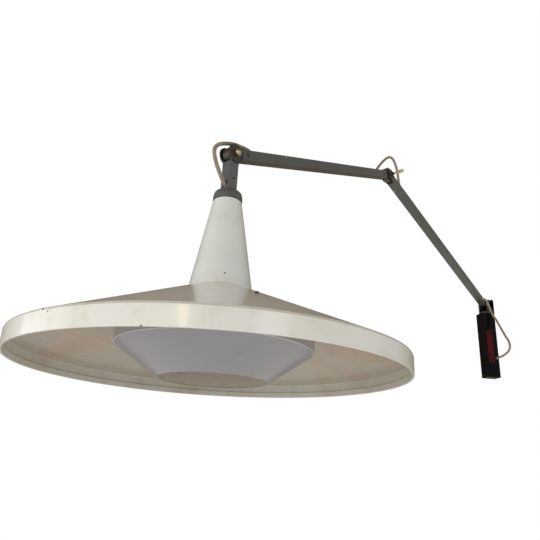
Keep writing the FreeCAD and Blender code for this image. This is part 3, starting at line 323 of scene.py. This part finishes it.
class Graph:
    # a node tree that expressions are added to
    def __init__(self, tree):
        self.tree = tree

    def node(self, kind, settings=None, inputs=(), out=0):
        made = self.tree.nodes.new(kind)
        for key, value in (settings or {}).items():
            setattr(made, key, value)
        pairs = inputs.items() if isinstance(inputs, dict) else enumerate(inputs)
        for socket, value in pairs:
            self.feed(made.inputs[socket], value)
        return Sock(self, made.outputs[out])

    def feed(self, socket, value):
        if isinstance(value, Sock):
            self.tree.links.new(value.link, socket)
        elif isinstance(value, (tuple, list)):
            wide = len(value) == 3 and len(socket.default_value) == 4
            socket.default_value = (*value, 1.0) if wide else value
        else:
            socket.default_value = value

    def place(self):
        return self.node("ShaderNodeTexCoord", out=3)

    def noise(self, scale, detail=3.0, roughness=0.55, out=0):
        inputs = {"Vector": self.place(), "Scale": scale, "Detail": detail, "Roughness": roughness}
        return self.node("ShaderNodeTexNoise", {}, inputs, out)

    def mix(self, share, first, second):
        settings = {"data_type": "RGBA", "blend_type": "MIX", "clamp_factor": True}
        return self.node("ShaderNodeMix", settings, {0: share, 6: first, 7: second}, 2)

    def bump(self, height, distance, strength):
        inputs = {"Height": height, "Distance": distance, "Strength": strength}
        return self.node("ShaderNodeBump", {}, inputs)

    def parts(self, vector):
        made = self.node("ShaderNodeSeparateXYZ", {}, [vector])
        return [Sock(self, output) for output in made.link.node.outputs]

    def aboutShade(self):
        # distance from the shade's axis and level over its rim, both in metres
        x, y, z = self.parts(self.place())
        x, y = x - float(rim[0]), y - float(rim[1])
        return (x * x + y * y) ** 0.5, z - float(rim[2])


class Recipe(Graph):
    # a material whose Principled shader takes what is set
    def __init__(self, name, **uniform):
        self.material = bpy.data.materials.new(name)
        self.material.use_nodes = True
        super().__init__(self.material.node_tree)
        self.shader = self.tree.nodes["Principled BSDF"]
        for socket, value in uniform.items():
            self.set(socket.replace("_", " "), value)

    def set(self, socket, value):
        self.feed(self.shader.inputs[socket], value)
        return self


def chips(recipe, scale, share, reach=0.22):
    # small irregular spots: a share of the cells has one, round its point and ragged by noise
    warp = recipe.noise(scale * 2.6, 3.0, out=1)
    bent = recipe.node(
        "ShaderNodeVectorMath", {"operation": "MULTIPLY_ADD"}, [warp, (0.5 / scale,) * 3, recipe.place()])
    cells = recipe.node("ShaderNodeTexVoronoi", {}, {"Vector": bent, "Scale": scale, "Randomness": 1.0})
    near = Sock(recipe, cells.link.node.outputs["Distance"])
    lot = recipe.parts(Sock(recipe, cells.link.node.outputs["Color"]))[0]
    if isinstance(share, Sock):
        size = (share - lot).ramp(0.0, 0.3) * reach
    else:
        size = lot.ramp(share, share * 0.3) * reach
    return (near - size).ramp(0.02, -0.02) * size.ramp(0.0, 0.04)


# where the shade's rim is worn, as (distance or level in metres) pairs, and where a thin dark line runs
# along the groove atop its band
rimWear = {"edge": (0.2325, 0.2342), "lip": (0.008, 0.001), "crest": (0.013, 0.0195)}
grooveLine = {"distance": (0.2337, 0.0004, 0.0004), "level": (0.0204, 0.0003, 0.0004)}
bareMetal = (0.055, 0.045, 0.036)


def enamel(name, paint):
    # an old stoved enamel: mottled colour, spun waves about the axis, fine peel, soil and small chips
    recipe = Recipe(name, IOR=1.5, Coat_Roughness=paint.get("coatRoughness", 0.06))
    distance, level = recipe.aboutShade()
    broad = recipe.noise(5.0, 4.0)
    fine = recipe.noise(60.0, 5.0, 0.6)
    colour = recipe.mix(broad.ramp(0.38, 0.68), paint["base"], paint["tint"])
    colour = recipe.mix(recipe.noise(9.0, 3.0).ramp(0.5, 0.78) * paint["patches"], colour, paint["warm"])
    # warmer patches round given points, as offsets in mm from the rim's centre
    for spot, reach in paint.get("warmSpots", ()):
        away = recipe.node(
            "ShaderNodeVectorMath", {"operation": "DISTANCE"},
            [recipe.place(), tuple(rim + np.array(spot) * mm)], 1)
        colour = recipe.mix(away.ramp(reach * mm, 0.012) * 0.6, colour, paint["warm"])
    colour = recipe.mix(fine.ramp(0.5, 0.78) * paint["soil"] * 0.3, colour, paint["dark"])
    ringNoise = recipe.node(
        "ShaderNodeTexNoise", {"noise_dimensions": "1D"}, {"W": distance, "Scale": 190.0, "Detail": 3.0})
    rings = ringNoise.ramp(0.35, 0.75)
    colour = recipe.mix(rings * paint["spin"], colour, paint["dark"])
    edges = distance.ramp(*rimWear["edge"])
    edges = edges * (level.ramp(*rimWear["lip"]) + level.ramp(*rimWear["crest"]))
    spots = chips(recipe, 70.0, paint["wear"], 0.11)
    spots = spots.peak(chips(recipe, 150.0, edges * 0.2 + 0.03, 0.27))
    # a thin dark line along the groove atop the rim band
    grooveMark = distance.band(*grooveLine["distance"]) * level.band(*grooveLine["level"])
    colour = recipe.mix(grooveMark * 0.75, colour, paint["dark"])
    colour = recipe.mix(spots, colour, bareMetal)
    recipe.set("Base Color", colour)
    recipe.set("Roughness", fine * 0.12 + (paint["roughness"] - 0.05) + spots * 0.35)
    recipe.set("Coat Weight", (1 - spots) * paint["coat"])
    peel = recipe.noise(420.0, 2.0) * 0.22 + recipe.noise(20.0, 2.0)
    peel = peel + ringNoise * paint["spin"] * 3.0 - spots * 1.2
    recipe.set("Normal", recipe.bump(peel, 0.0003, 0.5))
    return recipe


def machined(name, base, dark, roughness=0.35, metallic=1.0, rust=None, shine=0.5, hub=None):
    # turned or plated metal: fine tool lines, cloudy tarnish, rust in patches
    recipe = Recipe(name, Specular_IOR_Level=shine)
    broad = recipe.noise(60.0, 4.0)
    lines = recipe.noise(900.0, 2.0)
    colour = recipe.mix(broad.ramp(0.35, 0.75), base, dark)
    if hub:
        across = recipe.node(
            "ShaderNodeVectorMath", {"operation": "DOT_PRODUCT"}, [recipe.place(), tuple(hinge)], 1)
        out = (across - float(elbow @ hinge)).sum("ABSOLUTE")
        colour = recipe.mix(out.ramp(hub + 0.001, hub), colour, (0.05, 0.042, 0.035))
    worn = broad * 0.2 + lines * 0.15 + (roughness - 0.15)
    if rust:
        patch = recipe.noise(140.0, 5.0, 0.7).ramp(0.55, 0.72)
        colour = recipe.mix(patch * 0.7, colour, rust)
        recipe.set("Metallic", metallic - patch * 0.7 * metallic)
        worn = worn + patch * 0.3
    else:
        recipe.set("Metallic", metallic)
    recipe.set("Roughness", worn)
    recipe.set("Base Color", colour)
    recipe.set("Normal", recipe.bump(lines + broad, 0.00006, 0.5))
    return recipe


def moulded(name, base, tint, roughness=0.4, grain=300.0, depth=0.0001):
    recipe = Recipe(name)
    broad = recipe.noise(30.0, 4.0)
    skin = recipe.noise(grain, 3.0, 0.6)
    recipe.set("Base Color", recipe.mix(broad.ramp(0.3, 0.75), base, tint))
    recipe.set("Roughness", skin * 0.2 + (roughness - 0.1))
    recipe.set("Normal", recipe.bump(skin, depth, 0.6))
    return recipe


def paintedTube(name, base, tint, worn, roughness=0.3, coat=0.35, wear=0.05, shine=0.5):
    # brushed-on paint over steel, rubbed thin in places, with a few small chips
    recipe = Recipe(name, Coat_Roughness=0.12, Specular_IOR_Level=shine)
    broad = recipe.noise(9.0, 4.0)
    cloud = recipe.noise(70.0, 5.0, 0.62)
    colour = recipe.mix(broad.ramp(0.35, 0.7), base, tint)
    colour = recipe.mix(cloud.ramp(0.56, 0.8) * 0.4, colour, worn)
    spots = chips(recipe, 95.0, wear)
    colour = recipe.mix(spots, colour, tuple(value * 1.6 + 0.03 for value in worn))
    recipe.set("Base Color", colour)
    recipe.set("Roughness", cloud * 0.2 + (roughness - 0.08))
    recipe.set("Coat Weight", (1 - spots) * coat)
    recipe.set("Normal", recipe.bump(recipe.noise(500.0, 2.0) - spots, 0.00012, 0.5))
    return recipe


def flexCover(name, base, tint):
    # round rubber flex with a fine braid imprint that follows its length
    recipe = Recipe(name)
    along = recipe.node("ShaderNodeAttribute", {"attribute_name": "along"}, out=2)
    rings = (along * 2600.0).sum("SINE") * 0.5 + 0.5
    cloud = recipe.noise(120.0, 4.0)
    colour = recipe.mix(cloud.ramp(0.35, 0.7), base, tint)
    colour = recipe.mix(rings * 0.25, colour, tuple(value * 0.6 for value in base))
    recipe.set("Base Color", colour)
    recipe.set("Roughness", cloud * 0.15 + 0.42)
    recipe.set("Normal", recipe.bump(rings * 0.6 + cloud, 0.00008, 0.5))
    return recipe


shadePaint = {
    "base": (0.78, 0.775, 0.73), "tint": (0.73, 0.715, 0.64), "warm": (0.62, 0.56, 0.44),
    "dark": (0.36, 0.30, 0.21), "patches": 0.25, "soil": 0.55, "spin": 0.06, "wear": 0.05,
    "roughness": 0.22, "coat": 0.35}
# the dish's inside: its white enamel painted dark taupe, as painted shade where the underside gets little
# light
shadedInsidePaint = {
    "base": (0.395, 0.37, 0.305), "tint": (0.34, 0.31, 0.255), "warm": (0.375, 0.255, 0.185),
    "warmSpots": [((-74, -171, 41), 62), ((-30, 173, 46), 52), ((8, 189, 40), 44)],
    "dark": (0.16, 0.125, 0.088), "patches": 0.8, "soil": 0.6, "spin": 0.14, "wear": 0.02,
    "roughness": 0.36, "coat": 0.2, "coatRoughness": 0.2}
# the diffuser's outer face: its white enamel painted dark blue-grey, as painted shade
shadedDiffuserPaint = {
    "base": (0.285, 0.29, 0.33), "tint": (0.26, 0.262, 0.285), "warm": (0.28, 0.26, 0.24),
    "dark": (0.16, 0.15, 0.14), "patches": 0.35, "soil": 0.5, "spin": 0.08, "wear": 0.008,
    "roughness": 0.36, "coat": 0.22, "coatRoughness": 0.2}

# the dish's underside within the diffuser and the diffuser's inner face: the enamel painted paler than
# the outside, as painted light in that hollow
litInsidePaint = {
    **shadedInsidePaint, "base": (0.9, 0.86, 0.8), "tint": (0.84, 0.79, 0.72),
    "warm": (0.8, 0.71, 0.61), "spin": 0.06}
neckPaint = {
    **shadePaint, "base": (0.77, 0.785, 0.765), "tint": (0.72, 0.725, 0.685), "patches": 0.1}
# the diffuser's ring: its white enamel painted blue-grey, as painted shade
shadedRingPaint = {
    **shadedDiffuserPaint, "base": (0.44, 0.445, 0.50), "tint": (0.40, 0.40, 0.44),
    "warm": (0.40, 0.38, 0.36)}
# the rim band's inner wall: the enamel painted darker than outside and lighter than the rest of the
# inside, as painted shade
shadedWallPaint = {
    **shadedInsidePaint, "base": (0.62, 0.61, 0.54), "tint": (0.56, 0.54, 0.46),
    "warm": (0.5, 0.42, 0.33)}

# pale, wall, ring, inside and diffuser are one white enamel painted lighter or darker: painted light and
# painted shade
finishes = {
    "pale": enamel("litInsideEnamel", litInsidePaint),
    "wall": enamel("shadedRimWallEnamel", shadedWallPaint),
    "ring": enamel("shadedRingEnamel", shadedRingPaint),
    "neck": enamel("neckEnamel", neckPaint),
    "shade": enamel("creamEnamel", shadePaint),
    "inside": enamel("shadedInsideEnamel", shadedInsidePaint),
    "diffuser": enamel("shadedDiffuserEnamel", shadedDiffuserPaint),
    "arm": paintedTube(
        "armPaint", (0.05, 0.05, 0.043), (0.066, 0.064, 0.055), (0.12, 0.105, 0.08), 0.3, 0.2),
    "yoke": paintedTube(
        "yokePaint", (0.066, 0.069, 0.068), (0.085, 0.086, 0.082), (0.13, 0.12, 0.10), 0.3),
    "housing": paintedTube(
        "blackEnamel", (0.0016, 0.0014, 0.0015), (0.0026, 0.0022, 0.0022), (0.006, 0.005, 0.0045),
        0.1, 0.0, 0.015, 0.1),
    "turret": paintedTube(
        "turretBlack", (0.012, 0.012, 0.012), (0.02, 0.02, 0.019), (0.05, 0.046, 0.04), 0.18, 0.35, 0.03),
    "blackHardware": machined(
        "blackedSteel", (0.03, 0.028, 0.026), (0.012, 0.011, 0.01), 0.32, 0.6, (0.05, 0.032, 0.02)),
    "label": machined(
        "redPlate", (0.082, 0.003, 0.0042), (0.038, 0.0016, 0.0022), 0.35, 0.2, shine=0.15),
    "steel": machined(
        "zincSteel", (0.45, 0.44, 0.42), (0.28, 0.26, 0.24), 0.34, rust=(0.14, 0.08, 0.045)),
    "darkSteel": machined("oiledSteel", (0.085, 0.07, 0.055), (0.04, 0.033, 0.027), 0.3, 0.75),
    "knob": machined(
        "knobBrass", (0.62, 0.50, 0.36), (0.42, 0.33, 0.22), 0.3, 0.9, (0.2, 0.14, 0.07), hub=0.0175),
    "brass": machined(
        "brassFittings", (0.60, 0.47, 0.27), (0.36, 0.27, 0.15), 0.3, rust=(0.2, 0.14, 0.07)),
    "nickel": machined("nickelNut", (0.50, 0.42, 0.33), (0.30, 0.25, 0.19), 0.2),
    "fibre": moulded("redFibre", (0.16, 0.07, 0.035), (0.1, 0.05, 0.03), 0.7),
    "terminal": moulded("terminalWhite", (0.75, 0.73, 0.66), (0.66, 0.62, 0.52), 0.3),
    "grommet": moulded("grommetRubber", (0.012, 0.012, 0.012), (0.025, 0.024, 0.022), 0.6),
    "holder": moulded("holderBakelite", (0.022, 0.018, 0.015), (0.035, 0.026, 0.02), 0.25, 120.0),
    "flex": flexCover("flexRubber", (0.25, 0.195, 0.14), (0.34, 0.275, 0.205)),
}


def opalGlass():
    recipe = Recipe("opalGlass", IOR=1.48, Coat_Weight=0.5, Coat_Roughness=0.05)
    haze = recipe.noise(14.0, 3.0)
    recipe.set("Base Color", recipe.mix(haze, (0.82, 0.83, 0.82), (0.72, 0.72, 0.70)))
    recipe.set("Roughness", haze * 0.1 + 0.12)
    return recipe


finishes["bulb"] = opalGlass()

nodeFinish = {
    "housing": ["wall_housing", "housing_cover", "blanking_plug"],
    "label": ["label_plate"],
    "turret": ["turret_fork"],
    "arm": ["upper_arm_tube", "fore_arm_tube"],
    "yoke": ["yoke_tube"],
    "blackHardware": [
        "thrust_washer", "spindle_collar", "shoulder_bolt", "shoulder_nut", "shoulder_block",
        "shoulder_block_screw", "fore_arm_screws", "yoke_screw", "cover_screw", "diffuser_screws"],
    "steel": [
        "elbow_bolt", "head_bolt", "swivel_stem", "swivel_washers", "swivel_nut", "neck_clamp_ring",
        "diffuser_nuts", "bearing_tube"],
    "darkSteel": [
        "elbow_washers", "head_washers", "elbow_barrel", "head_barrel", "neck_clamp_screws",
        "bracket_rivets"],
    "brass": ["upper_bush", "lower_bush", "terminal_screws"],
    "knob": ["elbow_clamp_knob"],
    "nickel": ["head_dome_nut"],
    "fibre": ["shoulder_friction_discs", "elbow_friction_discs", "head_friction_discs"],
    "terminal": ["terminal_block"],
    "grommet": ["cable_grommet"],
    "flex": ["upper_arm_flex", "fore_arm_flex", "yoke_flex"],
    "inside": ["diffuser_brackets"],
}


def dress(piece, finish):
    piece.data.materials.clear()
    piece.data.materials.append(finishes[finish].material)


for finish, names in nodeFinish.items():
    for name in names:
        dress(nodes[name], finish)
for piece in flexPieces.values():
    dress(piece, "flex")
print("materials dressed")


# ---- surfaces of revolution about the shade's axis
def rounded(corners):
    # corners are (radius, level, size of the round, finish of the run after it), in mm
    points, looks = [], []
    count = len(corners)
    for index, (radius, level, bend, look) in enumerate(corners):
        here = np.array([radius, level], float)
        before = np.array(corners[index - 1][:2], float)
        after = np.array(corners[(index + 1) % count][:2], float)
        if bend <= 0:
            points.append(here[None])
            looks.append([look])
            continue
        toBefore = (before - here) / np.linalg.norm(before - here)
        toAfter = (after - here) / np.linalg.norm(after - here)
        half = math.acos(max(-1.0, min(1.0, float(toBefore @ toAfter)))) / 2
        shorter = min(np.linalg.norm(before - here), np.linalg.norm(after - here))
        run = min(bend / math.tan(half), 0.45 * shorter)
        steps = max(2, int(math.degrees(math.pi - 2 * half) / 9))
        t = np.linspace(0, 1, steps + 1)[:, None]
        start, end = here + toBefore * run, here + toAfter * run
        arc = (1 - t) ** 2 * start + 2 * t * (1 - t) * here + t ** 2 * end
        guard = min(0.2, run * 0.4)
        line = np.vstack([arc[0] + toBefore * guard, arc, arc[-1] + toAfter * guard])
        points.append(line)
        half = len(line) // 2
        looks.append([corners[index - 1][3]] * half + [look] * (len(line) - half))
    return np.vstack(points), sum(looks, [])


def lathe(name, node, corners, body, around=192, closed=True, divide=6.0):
    # point = centre + (r cos a, r sin a, level) for each (r, level) of the rounded profile
    line, looks = rounded(corners)
    fine, marks = [], []
    count = len(line)
    for index in range(count if closed else count - 1):
        here, after = line[index], line[(index + 1) % count]
        pieces = max(1, int(np.linalg.norm(after - here) / divide))
        fine.append(here + (after - here) * np.linspace(0, 1, pieces, endpoint=False)[:, None])
        marks += [looks[index]] * pieces
    if not closed:
        fine.append(line[-1:])
        marks.append(looks[-1])
    line = np.vstack(fine)
    turns = np.linspace(0, 2 * math.pi, around, endpoint=False)
    rows = len(line)
    grid = np.stack([
        line[:, 0][:, None] * np.cos(turns), line[:, 0][:, None] * np.sin(turns),
        np.repeat(line[:, 1][:, None], around, axis=1)], axis=-1)
    grid = grid * mm + rim
    row, column = np.meshgrid(np.arange(rows if closed else rows - 1), np.arange(around), indexing="ij")
    nextRow, nextColumn = (row + 1) % rows, (column + 1) % around
    faces = np.stack([
        row * around + column, row * around + nextColumn, nextRow * around + nextColumn,
        nextRow * around + column], axis=-1).reshape(-1, 4)
    faceLooks = np.repeat(np.array(marks)[:len(row)], around)
    points = grid.reshape(-1, 3)
    if not closed:
        # the two ends lie on the axis: each end ring becomes one pole
        points = np.vstack([points[around:-around], grid[0, 0], grid[-1, 0]])
        top, low = len(points) - 2, len(points) - 1
        inner = faces.reshape(rows - 1, around, 4)[1:-1] - around
        step = np.arange(around)
        after = (step + 1) % around
        last = (rows - 3) * around
        first = np.stack([np.full(around, top), after, step], axis=-1)
        close = np.stack([last + step, last + after, np.full(around, low)], axis=-1)
        faceLooks = np.concatenate([
            np.repeat(np.array(marks[:1]), around), np.repeat(np.array(marks[1:rows - 2]), around),
            np.repeat(np.array(marks[rows - 2:rows - 1]), around)])
        faces = first.tolist() + inner.reshape(-1, 4).tolist() + close.tolist()
    piece = meshObject(name, points, faces)
    known = list(dict.fromkeys(faceLooks.tolist()))
    for look in known:
        piece.data.materials.append(finishes[look].material)
    numbers = np.array([known.index(look) for look in faceLooks], dtype=np.int32)
    piece.data.polygons.foreach_set("material_index", numbers)
    turnOutwards(piece)
    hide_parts(node)
    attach(piece, body)
    return piece


def turnOutwards(piece):
    # one volume sum decides whether the whole closed surface is inside out
    mesh = piece.data
    shape = bmesh.new()
    shape.from_mesh(mesh)
    if shape.calc_volume(signed=True) < 0:
        bmesh.ops.reverse_faces(shape, faces=shape.faces)
    shape.to_mesh(mesh)
    shape.free()


# ---- shade, diffuser, cap and lamp: round forms, in mm about the rim's centre
dish = {"radius": 235.0, "rimHeight": 22.0, "slope": 99.0 / 235.0, "sheet": 1.302, "step": 210.0}


def coneLevel(radius, below=0.0):
    return dish["rimHeight"] + dish["slope"] * (dish["radius"] - radius) - below


sheetUnder = dish["sheet"]
dishLine = [
    (234.9, 0.0, 0.5, "shade"), (235.0, 19.3, 0.8, "shade"), (234.1, 20.0, 0.25, "shade"),
    (234.4, 20.9, 0.3, "shade"), (233.4, coneLevel(233.4, 1.0), 0.6, "shade"),
    (30.0, coneLevel(30.0), 0.3, "pale"), (30.0, coneLevel(30.0, sheetUnder), 0.3, "pale"),
    (122.0, coneLevel(122.0, sheetUnder), 0.0, "inside"),
    (210.0, coneLevel(210.0, sheetUnder + 0.4), 1.2, "inside"),
    (212.0, coneLevel(212.0, 1.1 + sheetUnder), 1.2, "inside"), (233.8, 19.6, 2.2, "wall"),
    (233.8, 8.0, 0.3, "wall"), (232.2, 7.5, 0.5, "wall"), (232.3, 0.0, 0.6, "shade")]
neckLine = [
    (41.3, coneLevel(41.3), 0.3, "neck"),
    (19.5, 231.0, 0.9, "neck"), (14.8, 231.0, 0.5, "neck"), (14.8, 244.2, 0.7, "neck"),
    (5.05, 244.2, 0.2, "neck"), (5.05, 243.0, 0.2, "inside"), (13.6, 243.0, 0.5, "inside"),
    (13.6, 229.8, 0.5, "inside"), (18.3, 228.6, 0.5, "inside"),
    (39.9, coneLevel(39.9, -2.28), 0.5, "inside"), (33.0, coneLevel(33.0, -1.2), 0.3, "inside"),
    (33.0, coneLevel(33.0), 0.3, "inside")]
diffuserLine = [
    (66.5, -8.0, 0.35, "diffuser"), (118.9, 27.0, 1.2, "diffuser"), (118.9, 50.0, 0.5, "pale"),
    (117.4, 50.0, 0.4, "pale"), (117.4, 27.9, 2.0, "pale"), (65.4, -6.6, 0.3, "diffuser"),
    (64.9, -7.6, 0.3, "diffuser"), (65.3, -8.0, 0.3, "diffuser")]
ringLine = [
    (121.5, 27.2, 2.2, "ring"), (121.5, 51.0, 0.35, "ring"), (120.5, 51.0, 0.35, "ring"),
    (120.5, 28.6, 1.2, "ring"), (119.2, 27.9, 0.3, "ring"), (119.1, 27.05, 0.3, "ring")]
capLine = [
    (20.1, 231.7, 0.4, "yoke"), (19.9, 238.6, 1.0, "yoke"), (18.6, 244.0, 3.5, "yoke"),
    (13.4, 248.2, 3.0, "yoke"), (8.2, 248.2, 0.2, "yoke"), (8.2, 246.9, 0.2, "yoke"),
    (12.6, 246.9, 2.2, "yoke"), (17.4, 243.2, 3.0, "yoke"), (18.6, 238.4, 1.0, "yoke"),
    (18.8, 231.7, 0.3, "yoke")]
screwThread = [
    (13.0 + 0.18 * side, 138.0 + 2.4 * turn + 1.2 * (side > 0), 0.45, "nickel")
    for turn in range(9) for side in (-1, 1)]
bulbCapLine = [
    (0.0, 166.0, 0.0, "nickel"), (5.0, 166.0, 0.6, "nickel"), (13.2, 161.0, 0.8, "nickel"),
    *screwThread[::-1], (13.2, 136.0, 0.3, "nickel"), (0.0, 136.0, 0.0, "nickel")]
bulbTurn = np.radians(np.linspace(122, 4, 24))
bulbLine = [
    (0.0, 136.0, 0.0, "bulb"), (12.8, 136.0, 0.4, "bulb"), (14.3, 124.0, 5.0, "bulb"),
    *[(30.0 * math.sin(turn), 60.0 - 30.0 * math.cos(turn), 0.0, "bulb") for turn in bulbTurn],
    (0.0, 30.0, 0.0, "bulb")]
holderRibs = [
    (19.5 - 0.5 * (step % 2), 166.0 - 2.0 * step, 0.5, "holder") for step in range(9)]
holderLine = [
    (5.1, 188.0, 0.2, "holder"), (9.0, 188.0, 0.8, "holder"), (15.5, 176.0, 2.5, "holder"),
    (19.5, 169.5, 1.5, "holder"), *holderRibs, (19.5, 146.0, 1.5, "holder"),
    (19.5, 134.0, 0.8, "holder"), (17.1, 134.0, 0.6, "holder"), (17.1, 142.0, 0.4, "holder"),
    (13.5, 144.0, 0.4, "holder"), (13.5, 168.0, 0.5, "holder"), (8.5, 174.0, 0.5, "holder"),
    (5.1, 184.0, 0.3, "holder")]

lathe("shadeDish", "shade_dish", dishLine, "shade", around=256, divide=9.0)
lathe("shadeNeck", "shade_neck", neckLine, "shade", around=96)
lathe("diffuserBowl", "diffuser", diffuserLine, "shade", around=192)
lathe("diffuserRing", "diffuser_ring", ringLine, "shade", around=192)
lathe("headCap", "head_cap", capLine, "head", around=96)
lathe("bulbCap", "bulb_cap", bulbCapLine, "head", around=64, closed=False)
lathe("bulbGlass", "bulb_glass", bulbLine, "head", around=64, closed=False)
lathe("lampHolder", "lamp_holder", holderLine, "head", around=96)
print("shade spun")

# ---- the web that closes the back of the turret's fork
forkWeb = {"inner": 14.3, "outer": 15.5, "low": 71.0, "high": 94.0, "halfTurn": 39.5, "steps": 24}


def makeForkWeb(settings):
    # point = swivel axis + (r cos a, r sin a, level), for a rounded wall section carried through an arc
    inner, outer, low, high = [settings[key] for key in ("inner", "outer", "low", "high")]
    corners = [
        (outer, low, 0.3, ""), (outer, high, 0.5, ""), (inner, high, 0.4, ""), (inner, low, 0.3, "")]
    line, _ = rounded(corners)
    middle = math.atan2(-reach[1], -reach[0])
    spread = math.radians(settings["halfTurn"])
    turns = np.linspace(middle - spread, middle + spread, settings["steps"] + 1)
    rows, around = len(turns), len(line)
    points = np.stack([
        np.outer(np.cos(turns), line[:, 0]), np.outer(np.sin(turns), line[:, 0]),
        np.tile(line[:, 1], (rows, 1))], axis=-1).reshape(-1, 3) * mm
    points += [pivot[0], pivot[1], 0.0]
    row, column = np.meshgrid(np.arange(rows - 1), np.arange(around), indexing="ij")
    after = (column + 1) % around
    faces = np.stack([
        row * around + column, row * around + after, (row + 1) * around + after,
        (row + 1) * around + column], axis=-1).reshape(-1, 4).tolist()
    faces += [list(range(around))[::-1], list(range((rows - 1) * around, rows * around))]
    piece = meshObject("forkWeb", points, faces)
    piece.data.materials.append(finishes["turret"].material)
    turnOutwards(piece)
    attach(piece, "turret")


makeForkWeb(forkWeb)


# ---- stage
stage = {
    "floorHalf": 2.6, "floorDrop": 1.1,
    "front": (0.71, 0.725, 0.725), "back": (0.17, 0.135, 0.095), "overhead": (0.24, 0.188, 0.125),
    "facing": (0.1, 0.85), "rising": (0.35, 0.9), "floorGlow": 0.55}
# each stands at its place, aimed at the rim, in metres; the key is placed from the camera
lights = {
    "keySoft": {"fromCamera": (0.45, -0.95, 0.35), "over": 0.02, "size": 1.5, "power": 4.6},
    "warmWindow": {
        "place": (2.378, -1.345, 0.164), "size": 0.17, "power": 0.5, "colour": (1.0, 0.72, 0.2)},
    "leftSoft": {"place": (0.55, -3.0, -0.1), "size": 1.6, "power": 9.0},
    "coolWindow": {
        "place": (2.297, -0.05, 0.155), "size": 0.5, "power": 1.0, "colour": (0.94, 0.97, 1.0)},
}


def makeFloor():
    half, level = stage["floorHalf"], cadBox[0][2] - stage["floorDrop"]
    centre = (pivot + rim) / 2
    corners = [(-1, -1), (1, -1), (1, 1), (-1, 1)]
    points = [(centre[0] + x * half, centre[1] + y * half, level) for x, y in corners]
    floor = meshObject("floor", points, [(0, 1, 2, 3)])
    recipe = Recipe("floorPaper", Roughness=0.8, Emission_Strength=stage["floorGlow"])
    recipe.set("Emission Color", (1.0, 0.98, 0.94))
    paper = recipe.mix(recipe.noise(2.0), (0.80, 0.79, 0.77), (0.77, 0.76, 0.74))
    recipe.set("Base Color", paper)
    floor.data.materials.append(recipe.material)


def makeWorld():
    # white to the eye; its light is brighter in front of the lamp than behind, and warm overhead
    world = bpy.data.worlds.new("studio")
    bpy.context.scene.world = world
    world.use_nodes = True
    graph = Graph(world.node_tree)
    way = graph.node("ShaderNodeTexCoord", out=0)
    facing = graph.node(
        "ShaderNodeVectorMath", {"operation": "DOT_PRODUCT"}, [way, cameraSettings["ahead"]], 1)
    light = graph.mix(facing.ramp(*stage["facing"]), stage["front"], stage["back"])
    light = graph.mix(graph.parts(way)[2].ramp(*stage["rising"]), light, stage["overhead"])
    seen = graph.mix(graph.node("ShaderNodeLightPath"), light, (1.0, 1.0, 1.0))
    graph.feed(world.node_tree.nodes["Background"].inputs[0], seen)


def areaLight(name, settings):
    if "fromCamera" in settings:
        place = tuple(np.array(cameraSettings["place"]) + settings["fromCamera"])
    else:
        place = settings["place"]
    light = bpy.data.lights.new(name, "AREA")
    light.shape = "DISK"
    light.size = settings["size"]
    light.energy = settings["power"]
    light.color = settings.get("colour", (1, 1, 1))
    holder = bpy.data.objects.new(name, light)
    way = Vector(rim + [0, 0, settings.get("over", 0.0)]) - Vector(place)
    holder.rotation_euler = way.to_track_quat("-Z", "Y").to_euler()
    holder.location = place
    holder.visible_camera = False
    bpy.context.scene.collection.objects.link(holder)


makeFloor()
makeWorld()
for name, settings in lights.items():
    areaLight(name, settings)
bpy.context.scene.view_settings.view_transform = "Standard"
print("stage lit")
